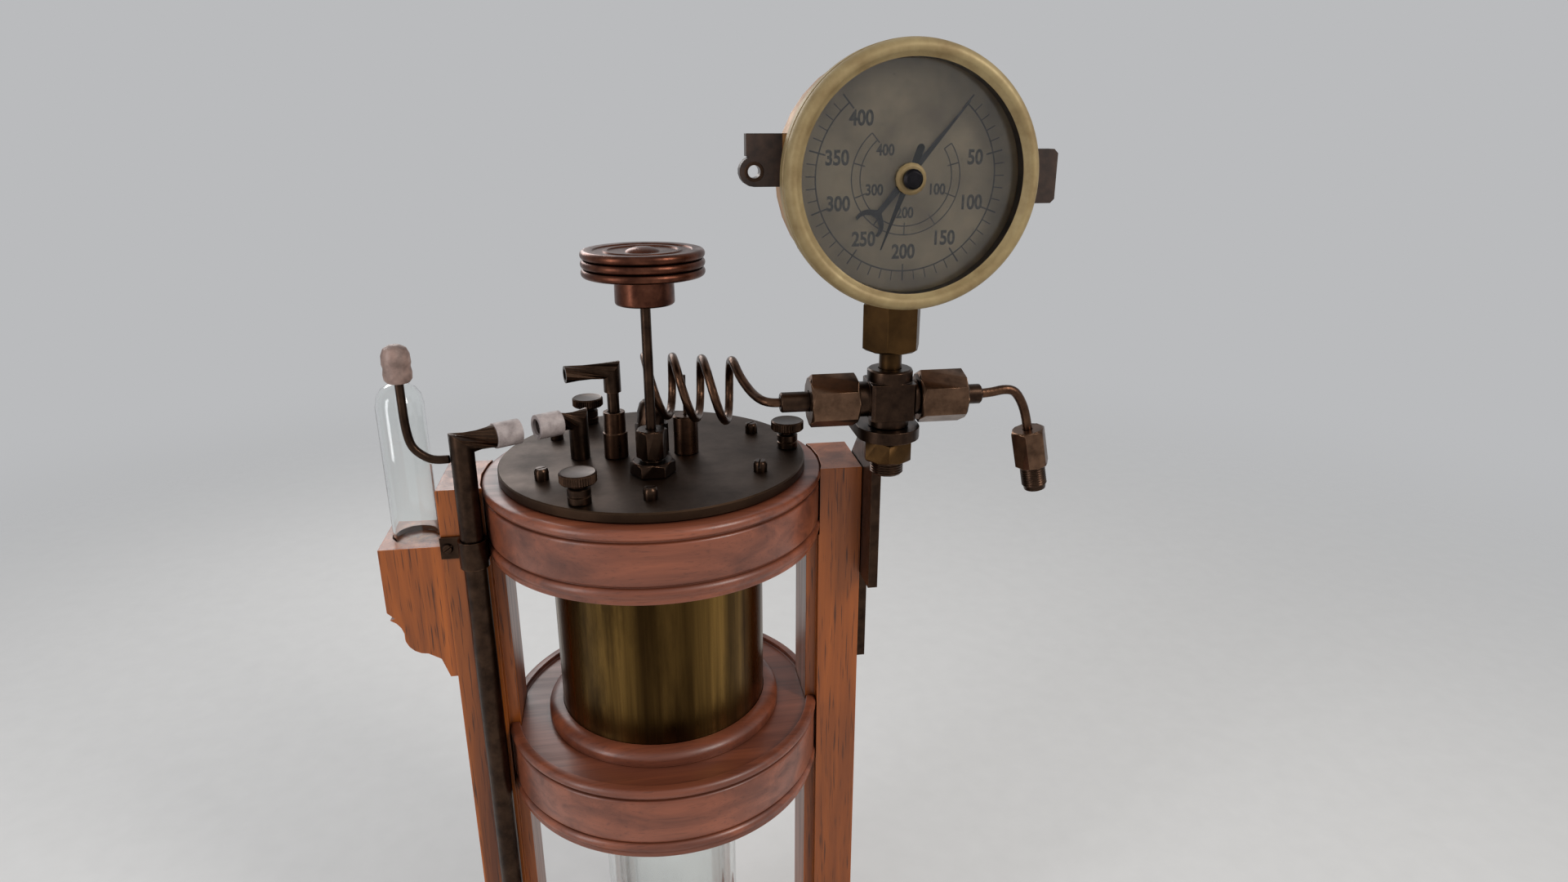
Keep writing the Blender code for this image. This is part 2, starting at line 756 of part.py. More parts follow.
# Glass flask under the lower ring
def vessel(radius, centre, steps):
    """Outer side of a round-bottomed vessel from its pole to where it runs straight."""
    return [(0, centre - radius)] + [
        (radius * math.sin(i * math.pi / 2 / steps), centre - radius * math.cos(i * math.pi / 2 / steps))
        for i in range(1, steps + 1)]


def make_flask():
    steps = 5
    outside = vessel(FLASK_RADIUS, FLASK_CENTRE, steps)
    inside = vessel(FLASK_RADIUS - FLASK_WALL, FLASK_CENTRE, steps)
    profile = outside + [(FLASK_RADIUS, FLASK_TOP), (FLASK_RADIUS - FLASK_WALL, FLASK_TOP)] + inside[::-1]
    piece("flask_outer", lathe(profile, SEG_MEDIUM), "clear_glass")

    centre = FLASK_CENTRE + FLASK_LINER_RISE
    bore = FLASK_LINER_RADIUS - FLASK_LINER_WALL
    rim = FLASK_TOP + SEAT
    outside = vessel(FLASK_LINER_RADIUS, centre, steps)
    inside = vessel(bore, centre, steps)
    profile = outside + [(FLASK_LINER_RADIUS, rim), (FLASK_RADIUS, rim), (FLASK_RADIUS, rim + FLASK_RIM),
                         (bore, rim + FLASK_RIM)] + inside[::-1]
    piece("flask_liner", lathe(profile, SEG_MEDIUM), "clear_glass")

    dish = FLASK_RADIUS + SEAT
    low = BASE_HEIGHT + SEAT
    edge = PAD_RADIUS - PAD_RIM
    bottom = math.asin(edge / dish)
    profile = [(0, low), (PAD_RADIUS, low)]
    lip = FLASK_CENTRE - dish * math.cos(bottom)
    profile += [(PAD_RADIUS, lip)]
    profile += [(dish * math.sin(bottom * i / steps), FLASK_CENTRE - dish * math.cos(bottom * i / steps))
                for i in range(steps, 0, -1)]
    profile += [(0, FLASK_CENTRE - dish)]
    piece("flask_pad", lathe(profile, SEG_MEDIUM), "cork")


# Heat exchanger and expansion valve
def winding_route():
    """Centre line of the wound tube: down from the lid, round the core, down into the valve block."""
    slope = math.atan2(WINDING_PITCH, 2 * math.pi * WINDING_RADIUS)
    run = WINDING_TURNS * 2 * math.pi * WINDING_RADIUS
    flat = [(0.0, 0.0), (0.0, -WINDING_LEAD)]
    bend = 4
    for i in range(1, bend + 1):
        angle = (math.pi / 2 - slope) * i / bend
        flat.append((WINDING_BEND * (1 - math.cos(angle)), -WINDING_LEAD - WINDING_BEND * math.sin(angle)))
    steps = WINDING_TURNS * LOOP_POINTS
    start = flat[-1]
    for i in range(1, steps + 1):
        flat.append((start[0] + run * i / steps, start[1] - run * math.tan(slope) * i / steps))
    start = flat[-1]
    for i in range(1, bend + 1):
        angle = slope + (math.pi / 2 - slope) * i / bend
        flat.append((start[0] + WINDING_BEND * (math.sin(angle) - math.sin(slope)),
                     start[1] - WINDING_BEND * (math.cos(slope) - math.cos(angle))))
    flat.append((flat[-1][0], VALVE_BLOCK_TOP + SEAT - (LID_BOTTOM - SEAT)))
    end = math.atan2(VALVE_Y, VALVE_X)
    route = []
    for along, drop in flat:
        angle = end + (along - flat[-1][0]) / WINDING_RADIUS
        route.append(Vector((WINDING_RADIUS * math.cos(angle), WINDING_RADIUS * math.sin(angle),
                             LID_BOTTOM - SEAT + drop)))
    return route


def make_exchanger():
    high = LID_BOTTOM - SEAT
    inner = CORE_RADIUS - CORE_WALL
    low = high - CORE_LENGTH
    piece("exchanger_core", lathe([(CORE_RADIUS, low), (CORE_RADIUS, high), (inner, high), (inner, low)],
                                  SEG_MEDIUM), "aged_brass", closed=True)
    route = winding_route()
    print("exchanger winding, least gap to itself in mm:", round(least_gap(route, WINDING_TUBE) * 1000, 2))
    wire("exchanger_winding", route, WINDING_TUBE, 1, "copper_bronze")


def make_valve():
    high = LID_BOTTOM - SEAT
    seat = VALVE_BLOCK_TOP - VALVE_BLOCK_HEIGHT + SEAT_FLOOR
    back = math.hypot(VALVE_X, VALVE_Y) - VALVE_BLOCK_MARGIN
    front = WINDING_RADIUS + WINDING_TUBE
    block = box((VALVE_X - VALVE_BLOCK_WIDTH / 2, -front, VALVE_BLOCK_TOP - VALVE_BLOCK_HEIGHT),
                (VALVE_X + VALVE_BLOCK_WIDTH / 2, -back, VALVE_BLOCK_TOP))
    valve = piece("expansion_valve", block, "dark_bronze")
    place = (VALVE_X, VALVE_Y, 0)
    guide = lathe([(0, VALVE_BLOCK_TOP - SEAT_FLOOR), (VALVE_TUBE_RADIUS, VALVE_BLOCK_TOP - SEAT_FLOOR),
                   (VALVE_TUBE_RADIUS, high), (0, high)], SEG_SMALL)
    join(valve, tool("valve_guide", guide, place))
    below = VALVE_BLOCK_TOP - VALVE_BLOCK_HEIGHT - SEAT_FLOOR
    bore = lathe([(0, below), (NOZZLE_RADIUS, below), (NOZZLE_RADIUS, seat), (VALVE_BORE, seat),
                  (VALVE_BORE, LID_TOP), (0, LID_TOP)], SEG_SMALL)
    cut(valve, tool("valve_bore", bore, place))

    tip = seat + SEAT
    top = LID_TOP + HUB_BOTTOM + SPINDLE_SOCKET - SEAT
    spindle = [(0, tip), (NEEDLE_POINT, tip), (SPINDLE_RADIUS, tip + NEEDLE_LENGTH), (SPINDLE_RADIUS, top),
               (0, top)]
    piece("valve_spindle", lathe(spindle, SEG_SMALL), "dark_bronze", place)


def make_gland():
    place = (VALVE_X, VALVE_Y, LID_TOP)
    count = 6 * HEX_STEPS
    rings = [ring(VALVE_BORE, -SPIGOT_DEPTH, count), ring(GLAND_NECK_RADIUS, -SPIGOT_DEPTH, count),
             ring(GLAND_NECK_RADIUS, SEAT, count)]
    rings += hex_rings(GLAND_FLATS, SEAT, GLAND_HEIGHT, chamfer_low=False)
    neck = GLAND_HEIGHT + GLAND_NECK - SEAT
    rings += [ring(GLAND_NECK_RADIUS, GLAND_HEIGHT, count), ring(GLAND_NECK_RADIUS, neck, count),
              ring(VALVE_BORE, neck, count)]
    piece("gland_base", rings, "dark_bronze", place, closed=True)

    low = GLAND_HEIGHT + GLAND_NECK
    high = low + GLAND_NUT_HEIGHT
    rings = [ring(VALVE_BORE, low, count)]
    rings += hex_rings(GLAND_NUT_FLATS, low, high) + [ring(VALVE_BORE, high, count)]
    piece("gland_nut", rings, "dark_bronze", place, (0, 0, math.radians(12)), closed=True)


def make_handwheel():
    bore = SPINDLE_RADIUS + SEAT
    edge = 0.0012
    profile = [(bore, HUB_BOTTOM), (HUB_RADIUS - edge, HUB_BOTTOM), (HUB_RADIUS, HUB_BOTTOM + edge),
               (HUB_RADIUS, WHEEL_BOTTOM)]
    rim = WHEEL_RADIUS - RIB_DEPTH
    profile += [(rim, WHEEL_BOTTOM)]
    for rib in range(WHEEL_RIBS):
        low = WHEEL_BOTTOM + rib * RIB_HEIGHT
        for i in range(1, RIB_POINTS):
            share = math.pi * i / RIB_POINTS
            profile.append((rim + RIB_DEPTH * math.sin(share), low + RIB_HEIGHT * (1 - math.cos(share)) / 2))
        profile.append((rim, low + RIB_HEIGHT))
    inner = rim - WHEEL_RIM_WIDTH
    profile += [(inner, WHEEL_TOP), (inner - WHEEL_DISH, WHEEL_TOP - WHEEL_DISH)]
    profile += [(WHEEL_BOSS_RADIUS + WHEEL_DISH, WHEEL_TOP - WHEEL_DISH), (WHEEL_BOSS_RADIUS, WHEEL_TOP)]
    profile += [(WHEEL_BOSS_RADIUS * 0.6, WHEEL_TOP + WHEEL_BOSS_RISE), (0, WHEEL_TOP + WHEEL_BOSS_RISE)]
    profile = [(0, HUB_BOTTOM + SPINDLE_SOCKET), (bore, HUB_BOTTOM + SPINDLE_SOCKET)] + profile
    piece("handwheel", lathe(profile, SEG_MEDIUM), "copper_bronze", (VALVE_X, VALVE_Y, LID_TOP))


# Fittings on the lid
def spigot():
    """The part of a fitting that stands in its hole in the lid."""
    return [(0, -SPIGOT_DEPTH), (SPIGOT_RADIUS, -SPIGOT_DEPTH), (SPIGOT_RADIUS, SEAT)]


def make_inlet():
    count = 6 * HEX_STEPS
    rings = lathe(spigot(), count)
    rings += hex_rings(INLET_FLATS, SEAT, INLET_HEX, chamfer_low=False)
    rise = INLET_HEIGHT - INLET_HEX
    for share in (0.35, 0.7):
        radius = INLET_DOME_TOP + (INLET_FLATS / 2 - INLET_DOME_TOP) * math.cos(share * math.pi / 2)
        rings.append(ring(radius, INLET_HEX + rise * math.sin(share * math.pi / 2), count))
    socket = PIPE_TUBE / 2 + SEAT
    floor = INLET_HEIGHT - PIPE_SOCKET
    mouth = [(INLET_DOME_TOP, INLET_HEIGHT), (socket, INLET_HEIGHT), (socket, floor), (0, floor)]
    rings += lathe(mouth, count)
    piece("inlet_union", rings, "dark_bronze", (INLET_X, INLET_Y, LID_TOP))


def make_rear_socket():
    hole = REAR_PIN_RADIUS + SEAT
    floor = REAR_HEIGHT - REAR_PIN_DEPTH
    profile = spigot() + [(REAR_RADIUS, SEAT), (REAR_RADIUS, REAR_HEIGHT - EDGE),
                          (REAR_RADIUS - EDGE, REAR_HEIGHT), (hole, REAR_HEIGHT), (hole, floor), (0, floor)]
    place = (REAR_X, REAR_Y, LID_TOP)
    piece("rear_socket", lathe(profile, SEG_SMALL), "copper_bronze", place)
    low = floor + SEAT
    high = REAR_HEIGHT + REAR_PIN_RISE
    pin = [(0, low), (REAR_PIN_RADIUS, low), (REAR_PIN_RADIUS, high), (0, high)]
    piece("rear_pin", lathe(pin, SEG_DRILL), "dark_bronze", place)


def make_vent():
    place = (VENT_X, VENT_Y, LID_TOP)
    bore = VENT_TUBE_RADIUS + SEAT
    floor = VENT_SOCKET - PIPE_SOCKET
    profile = spigot() + [(VENT_FOOT_RADIUS, SEAT), (VENT_FOOT_RADIUS, VENT_FOOT),
                          (VENT_SOCKET_RADIUS, VENT_FOOT),
                          (VENT_SOCKET_RADIUS, VENT_SOCKET), (bore, VENT_SOCKET), (bore, floor), (0, floor)]
    piece("vent_socket", lathe(profile, SEG_SMALL), "copper_bronze", place)

    low = floor + SEAT
    tip = (VENT_ARM_LENGTH * math.cos(VENT_ARM_TURN), VENT_ARM_LENGTH * math.sin(VENT_ARM_TURN), VENT_ARM_Z)
    corner = (0, 0, VENT_ARM_Z)
    waist = (0, 0, VENT_TUBE_TOP)
    outside = sweep([(0, 0, low), waist, waist, corner, tip],
                    [VENT_TUBE_RADIUS] * 2 + [VENT_ARM_RADIUS] * 3, SEG_SMALL)
    floor = (0, 0, VENT_TUBE_TOP + VENT_ARM_RADIUS - VENT_ARM_BORE)
    inside = sweep([floor, corner, tip], [VENT_ARM_BORE] * 3, SEG_SMALL)
    piece("vent_elbow", outside + inside[::-1], "dark_bronze", place)


def return_line():
    """Start and direction of the line from the exhaust pipe's elbow to the return elbow."""
    start = Vector((EXHAUST_X, EXHAUST_Y, LID_TOP + RETURN_Z))
    end = Vector((RETURN_X, RETURN_Y, LID_TOP + RETURN_Z))
    return start, end, (end - start).normalized()


def stepped_arm(corner, towards, radius, reach):
    """Path and radii of an arm that ends in a spigot for its rubber sleeve."""
    spigot_radius = SLEEVE_BORE - SEAT
    shoulder = corner + towards * reach
    end = corner + towards * (reach + SLEEVE_LENGTH - SLEEVE_LIP)
    return [corner, shoulder, shoulder, end], [radius, radius, spigot_radius, spigot_radius]


def sleeve(name, corner, towards, reach):
    """A rubber sleeve pushed over an arm's spigot."""
    start = corner + towards * (reach + SEAT)
    end = start + towards * SLEEVE_LENGTH
    outside = sweep([start, end], [SLEEVE_RADIUS] * 2, SEG_SMALL)
    inside = sweep([start, end], [SLEEVE_BORE] * 2, SEG_SMALL)
    piece(name, outside + inside[::-1], "grey_rubber", closed=True)


def make_return_and_exhaust():
    start, end, towards = return_line()
    foot = Vector((RETURN_X, RETURN_Y, LID_TOP))
    seat = foot + Vector((0, 0, SEAT))
    path, radii = stepped_arm(end, -towards, RETURN_RADIUS, RETURN_ARM)
    path = [foot - Vector((0, 0, SPIGOT_DEPTH)), seat, seat] + path
    radii = [SPIGOT_RADIUS, SPIGOT_RADIUS, RETURN_RADIUS] + radii
    piece("return_elbow", sweep(path, radii, SEG_SMALL), "dark_bronze")
    sleeve("return_sleeve", end, -towards, RETURN_ARM)

    path, radii = stepped_arm(start, towards, EXHAUST_RADIUS, EXHAUST_ARM)
    path = [Vector((EXHAUST_X, EXHAUST_Y, BASE_HEIGHT + SEAT))] + path
    radii = [EXHAUST_RADIUS] + radii
    piece("exhaust_pipe", sweep(path, radii, SEG_SMALL), "dark_bronze")
    sleeve("exhaust_sleeve", start, towards, EXHAUST_ARM)


def make_pipe_clip():
    high = LID_TOP - CLIP_TOP_DROP
    low = high - CLIP_HEIGHT
    bore = EXHAUST_RADIUS + SEAT
    band = lathe([(CLIP_RADIUS, low), (CLIP_RADIUS, high), (bore, high), (bore, low)], SEG_SMALL)
    clip = piece("pipe_clip", band, "dark_bronze", (EXHAUST_X, EXHAUST_Y, 0), closed=True)
    face = -POST_DEPTH / 2 - SEAT
    middle = EXHAUST_X - (bore + CLIP_RADIUS) / 2
    inset = CLIP_HEIGHT / 10
    outline = [(EXHAUST_X - CLIP_TAB, face - CLIP_PLATE), (EXHAUST_X, face - CLIP_PLATE), (EXHAUST_X, face),
               (EXHAUST_X - CLIP_TAB, face)]
    tab = prism(outline, low + inset, high - inset)
    spare = tool("clip_tab", tab)
    web = [(middle - CLIP_PLATE / 2, EXHAUST_Y), (middle + CLIP_PLATE / 2, EXHAUST_Y),
           (middle + CLIP_PLATE / 2, face - CLIP_PLATE / 2), (middle - CLIP_PLATE / 2, face - CLIP_PLATE / 2)]
    join(clip, tool("clip_web", prism(web, low + 2 * inset, high - 2 * inset)))
    join(clip, spare)
    cut(clip, tool("clip_bore", drill(bore, low - inset, high + inset, SEG_SMALL, EXHAUST_X, EXHAUST_Y)))


def make_branch():
    side = EXHAUST_X - EXHAUST_RADIUS - SEAT
    x = EXHAUST_X - BRANCH_REACH
    top = BRANCH_TOP + STOPPER_SOCKET - SEAT
    route = [(side, BRANCH_Z), (side - 0.007, BRANCH_Z), (x + 0.0085, BRANCH_Z + 0.002),
             (x + 0.0025, BRANCH_Z + 0.008), (x + 0.0004, BRANCH_Z + 0.018), (x, BRANCH_Z + 0.032), (x, top)]
    points = smooth_route([(px, EXHAUST_Y, LID_TOP + pz) for px, pz in route], 3)
    wire("branch_pipe", points, BRANCH_TUBE, 2, "dark_bronze")

    socket = BRANCH_TUBE / 2 + SEAT
    high = STOPPER_HEIGHT
    shape = [(0.75, 0), (0.96, 0.10), (1, 0.25), (0.93, 0.42), (1, 0.52), (0.97, 0.75), (0.78, 0.92),
             (0.42, 1)]
    profile = [(0, STOPPER_SOCKET), (socket, STOPPER_SOCKET), (socket, 0)]
    profile += [(STOPPER_RADIUS * share, high * rise) for share, rise in shape] + [(0, high)]
    piece("branch_stopper", lathe(profile, SEG_SMALL), "pink_rubber", (x, EXHAUST_Y, LID_TOP + BRANCH_TOP))


def make_corbel():
    wall = -POST_OUTER - SEAT
    end = wall - CORBEL_REACH
    top = LID_TOP - CORBEL_TOP_DROP
    face = top - CORBEL_FACE
    foot = top - CORBEL_FOOT
    outline = [(wall, top), (end, top), (end, face), (end + 0.004, face - 0.004)]
    outline += arc((end - 0.004, face - 0.016), 0.0122, 65, -10, 4)
    outline += arc((end + 0.020, face - 0.0165), 0.0122, 195, 270, 4)
    outline += [(wall - CORBEL_TOE - 0.004, face - 0.033), (wall - CORBEL_TOE, foot), (wall, foot)]
    half = CORBEL_DEPTH / 2
    corbel = piece("tube_corbel", prism(outline, -half, half, "y"), "oak")

    x = -POST_OUTER - TUBE_OFFSET
    floor = top - TUBE_RECESS
    reach = TUBE_RADIUS + SEAT
    cut(corbel, tool("tube_recess", drill(reach, floor, top + TUBE_RECESS, SEG_SMALL, x)))

    steps = 4
    low = floor + SEAT
    centre = LID_TOP + TUBE_RISE - TUBE_RADIUS
    bore = TUBE_RADIUS - TUBE_WALL
    outside = [(r, 2 * centre - z) for r, z in vessel(TUBE_RADIUS, centre, steps)]
    inside = [(r, 2 * centre - z) for r, z in vessel(bore, centre, steps)]
    profile = outside + [(TUBE_RADIUS, low), (bore, low)] + inside[::-1]
    piece("gas_tube", lathe(profile, SEG_SMALL), "clear_glass", (x, 0, 0))


def thumb_places():
    step = 2 * math.pi / THUMB_COUNT
    angles = [i * step for i in range(THUMB_COUNT)]
    return [(THUMB_CIRCLE * math.cos(angle), THUMB_CIRCLE * math.sin(angle)) for angle in angles]


def make_thumb_screws():
    count = THUMB_FLUTES * 2
    high = THUMB_KNOB_BOTTOM + THUMB_KNOB

    def fluted(z):
        points = ring(THUMB_KNOB_RADIUS, z, count)
        shrink = 1 - THUMB_FLUTE_DEPTH / THUMB_KNOB_RADIUS
        return [Vector((p.x * shrink, p.y * shrink, z)) if i % 2 else p for i, p in enumerate(points)]

    face = THUMB_KNOB_RADIUS - EDGE
    below = lathe([(0, -STUD_LENGTH), (STUD_RADIUS, -STUD_LENGTH), (STUD_RADIUS, RUNNING),
                   (THUMB_FOOT_RADIUS, RUNNING), (THUMB_FOOT_RADIUS, THUMB_FOOT),
                   (THUMB_NECK_RADIUS, THUMB_FOOT), (THUMB_NECK_RADIUS, THUMB_KNOB_BOTTOM),
                   (face, THUMB_KNOB_BOTTOM)], count)
    above = lathe([(face, high), (0, high)], count)
    rings = below + [fluted(THUMB_KNOB_BOTTOM + EDGE), fluted(high - EDGE)] + above
    for i, (x, y) in enumerate(thumb_places()):
        piece(f"thumb_screw_{i + 1}", rings, "dark_bronze", (x, y, LID_TOP))


# Bracket, cross fitting and unions
def make_bracket():
    near = POST_OUTER + SEAT
    top = LID_TOP + FLANGE_Z + FLANGE_THICKNESS / 2
    foot = LID_TOP - BRACKET_FOOT_DROP
    step = LID_TOP - BRACKET_STEP_DROP
    outline = [(-BRACKET_LEG_FRONT, foot), (BRACKET_BACK, foot), (BRACKET_BACK, LID_TOP - BRACKET_BACK_DROP),
               (-FLANGE_BACK, top), (-BRACKET_FRONT, top), (-BRACKET_FRONT, step), (-BRACKET_LEG_FRONT, step)]
    bracket = piece("gauge_bracket", prism(outline, near, near + BRACKET_THICKNESS, "x"), "dark_bronze")
    low = LID_TOP + FLANGE_Z
    ends = arc((STEM_X, STEM_Y), FLANGE_HALF_WIDTH, 180, 360, 12)
    outline = ends + [(STEM_X + FLANGE_HALF_WIDTH, -FLANGE_BACK), (STEM_X - FLANGE_HALF_WIDTH, -FLANGE_BACK)]
    join(bracket, tool("bracket_flange", prism(outline, low, low + FLANGE_THICKNESS)))
    reach = STUB_RADIUS + SEAT
    hole = drill(reach, low - SEAT, low + 2 * FLANGE_THICKNESS, SEG_SMALL, STEM_X, STEM_Y)
    cut(bracket, tool("stem_hole", hole))


def make_cross():
    low = CROSS_Z - CROSS_BLOCK_HEIGHT / 2
    high = CROSS_Z + CROSS_BLOCK_HEIGHT / 2
    half = CROSS_BLOCK / 2
    inner = half - CROSS_BEVEL
    outline = [(half, -inner), (half, inner), (inner, half), (-inner, half), (-half, inner), (-half, -inner),
               (-inner, -half), (inner, -half)]
    place = (STEM_X, STEM_Y, LID_TOP)
    cross = piece("cross_fitting", prism(outline, low, high), "dark_bronze", place)
    shoulder = FLANGE_Z + FLANGE_THICKNESS + SEAT
    socket = STEM_NECK_RADIUS + SEAT
    floor = COLLAR_TOP - PIPE_SOCKET - 2 * SEAT
    upright = [(0, STUB_BOTTOM), (STUB_RADIUS - EDGE, STUB_BOTTOM), (STUB_RADIUS, STUB_BOTTOM + EDGE),
               (STUB_RADIUS, shoulder), (SHOULDER_RADIUS, shoulder), (SHOULDER_RADIUS, CROSS_Z),
               (CROSS_COLLAR_RADIUS, high - EDGE), (CROSS_COLLAR_RADIUS, COLLAR_TOP - EDGE),
               (CROSS_COLLAR_RADIUS - EDGE, COLLAR_TOP), (socket, COLLAR_TOP), (socket, floor), (0, floor)]
    join(cross, tool("cross_upright", lathe(upright, SEG_SMALL), place))
    left = LEFT_UNION_START - SEAT
    right = RIGHT_UNION_START - SEAT
    thread = NIPPLE_THREAD_RADIUS
    left_end = -left - NIPPLE_THREAD
    right_end = right + NIPPLE_THREAD
    arm = [(0, left_end), (thread, left_end), (thread, -left), (NIPPLE_RADIUS, -left), (NIPPLE_RADIUS, right),
           (thread, right), (thread, right_end), (0, right_end)]
    level = (STEM_X, STEM_Y, LID_TOP + CROSS_Z)
    join(cross, tool("cross_arm", lathe(arm, SEG_SMALL), level, (0, math.pi / 2, 0)))

    count = 6 * HEX_STEPS
    top = FLANGE_Z - SEAT
    bore = STUB_RADIUS + SEAT
    rings = [ring(bore, top - LOCK_NUT_HEIGHT, count)]
    rings += hex_rings(LOCK_NUT_FLATS, top - LOCK_NUT_HEIGHT, top) + [ring(bore, top, count)]
    piece("bracket_lock_nut", rings, "copper_bronze", place, (0, 0, math.radians(20)), closed=True)


def make_unions():
    count = 6 * HEX_STEPS
    level = (STEM_X, STEM_Y, LID_TOP + CROSS_Z)
    thread = NIPPLE_THREAD_RADIUS + SEAT
    neck = FERRULE_RADIUS + SEAT
    sides = (("left", -math.pi / 2, LEFT_UNION_START, LEFT_FERRULE),
             ("right", math.pi / 2, RIGHT_UNION_START, RIGHT_FERRULE))
    for name, turn, start, length in sides:
        end = start + UNION_LENGTH
        wall = end - UNION_END_WALL
        rings = hex_rings(UNION_FLATS, start, end)
        rings += lathe([(neck, end), (neck, wall), (thread, wall), (thread, start)], count)
        piece(f"{name}_union_nut", rings, "dark_bronze", level, (0, turn, 0), closed=True)
        socket = PIPE_TUBE / 2 + SEAT
        back = start + NIPPLE_THREAD
        tip = end + length
        flange = wall - SEAT
        ferrule = [(0, back), (NIPPLE_THREAD_RADIUS, back), (NIPPLE_THREAD_RADIUS, flange),
                   (FERRULE_RADIUS, flange), (FERRULE_RADIUS, tip - FINE_EDGE),
                   (FERRULE_RADIUS - FINE_EDGE, tip), (socket, tip), (socket, tip - PIPE_SOCKET),
                   (0, tip - PIPE_SOCKET)]
        piece(f"{name}_ferrule", lathe(ferrule, SEG_SMALL), "dark_bronze", level, (0, turn, 0))


def pipe_coil_route():
    """Centre line of the coiled pipe from the inlet's top to the left ferrule."""
    along = Vector((math.cos(PIPE_COIL_DRIFT), -math.sin(PIPE_COIL_DRIFT), 0))
    across = Vector((math.sin(PIPE_COIL_TURN), math.cos(PIPE_COIL_TURN), 0))
    lean = Vector((-math.sin(PIPE_COIL_LEAN), 0, math.cos(PIPE_COIL_LEAN)))
    start = Vector((*PIPE_COIL_START, LID_TOP + PIPE_COIL_Z))
    up = Vector((0, 0, 1))
    inlet = Vector((INLET_X, INLET_Y, LID_TOP + INLET_HEIGHT - PIPE_SOCKET + SEAT))
    ferrule = Vector((STEM_X - LEFT_UNION_START - UNION_LENGTH - LEFT_FERRULE + PIPE_SOCKET - SEAT, STEM_Y,
                      LID_TOP + CROSS_Z))

    def turn_point(turn):
        angle = 2 * math.pi * turn
        centre = start + along * (PIPE_COIL_PITCH * turn) + up * (PIPE_COIL_CLIMB * turn)
        return centre + PIPE_COIL_RADIUS * (lean * math.cos(angle) - across * math.sin(angle))

    loops = [turn_point(i / LOOP_POINTS) for i in range(PIPE_COIL_TURNS * LOOP_POINTS + 1)]
    first = loops[0]
    last = loops[-1]
    rise = [inlet, inlet + up * PIPE_SOCKET, inlet + up * (1.5 * PIPE_SOCKET),
            inlet + Vector((0.0004, 0.0008, 0.0150)), first + Vector((0.0022, 0.0080, -0.0085)),
            first + Vector((0.0013, 0.0050, -0.0026)), first]
    fall = [last, last + Vector((0.0007, -0.0058, -0.0014)), last + Vector((0.0026, -0.0136, -0.0058)),
            last + Vector((0.0070, -0.0226, -0.0116)), ferrule + Vector((-0.0150, 0.0040, 0.0006)),
            ferrule + Vector((-0.0100, 0.0006, 0.0)), ferrule - Vector((PIPE_SOCKET, 0, 0)), ferrule]
    return smooth_route(rise, 2)[:-1] + loops + smooth_route(fall, 2)[1:]


def make_coil_pipe():
    route = pipe_coil_route()
    print("coil pipe, least gap to itself in mm:", round(least_gap(route, PIPE_TUBE) * 1000, 2))
    wire("coil_pipe", route, PIPE_TUBE, 1, "copper_bronze")


def make_supply():
    start = Vector((STEM_X + RIGHT_UNION_START + UNION_LENGTH + RIGHT_FERRULE - PIPE_SOCKET + SEAT, STEM_Y,
                    LID_TOP + CROSS_Z))
    mouth = start + Vector((PIPE_SOCKET - SEAT, 0, 0))
    down = Vector((math.sin(SUPPLY_LEAN), 0, -math.cos(SUPPLY_LEAN)))
    joint = mouth + Vector((SUPPLY_REACH, 0, -SUPPLY_DROP))
    end = joint + down * (PIPE_SOCKET - SEAT)
    middle = [mouth, mouth + Vector((0.007, 0, 0.0006)), mouth + Vector((0.0135, 0, 0.0016)),
              mouth + Vector((0.0195, 0, 0.0004)), joint - down * 0.0165 - Vector((0.0017, 0, 0)),
              joint - down * 0.009 - Vector((0.0003, 0, 0)), joint]
    route = smooth_route([start] + middle + [end], 3)
    wire("supply_pipe", route, PIPE_TUBE, 2, "copper_bronze")

    turn = (0, math.pi - SUPPLY_LEAN, 0)
    count = 6 * HEX_STEPS
    socket = PIPE_TUBE / 2 + SEAT
    rings = lathe([(0, PIPE_SOCKET), (socket, PIPE_SOCKET), (socket, 0)], count)
    rings += hex_rings(SUPPLY_NUT_FLATS, 0, SUPPLY_NUT)
    piece("supply_nut", rings + [ring(0, SUPPLY_NUT, count)], "dark_bronze", joint, turn)
    low = SUPPLY_NUT + SEAT
    tip = low + SUPPLY_NIPPLE
    profile = [(0, low), (SUPPLY_NIPPLE_RADIUS, low), (SUPPLY_NIPPLE_RADIUS, tip - EDGE),
               (SUPPLY_NIPPLE_RADIUS - EDGE, tip), (0, tip)]
    piece("supply_nipple", lathe(profile, SEG_SMALL), "dark_bronze", joint, turn)


# Pressure gauge
def make_gauge_frame():
    """An empty at the gauge's centre whose local Z points forward, out of the dial."""
    frame = bpy.data.objects.new("gauge_axis", None)
    bpy.context.scene.collection.objects.link(frame)
    frame.location = (STEM_X, STEM_Y, GAUGE_CENTRE)
    frame.rotation_euler = (math.pi / 2, 0, 0)
    return frame


def make_gauge_stem():
    count = 6 * HEX_STEPS
    low = COLLAR_TOP - PIPE_SOCKET - SEAT
    high = STEM_HEX_BOTTOM + STEM_HEX_HEIGHT
    top = GAUGE_Z - STEM_BLOCK_TOP
    rings = lathe([(0, low), (STEM_NECK_RADIUS, low), (STEM_NECK_RADIUS, STEM_HEX_BOTTOM)], count)
    rings += hex_rings(STEM_FLATS, STEM_HEX_BOTTOM, high)
    rings += lathe([(STEM_BLOCK_RADIUS, high), (STEM_BLOCK_RADIUS, top), (0, top)], count)
    piece("gauge_stem", rings, "pale_brass", (STEM_X, STEM_Y, LID_TOP), (0, 0, math.radians(8)))


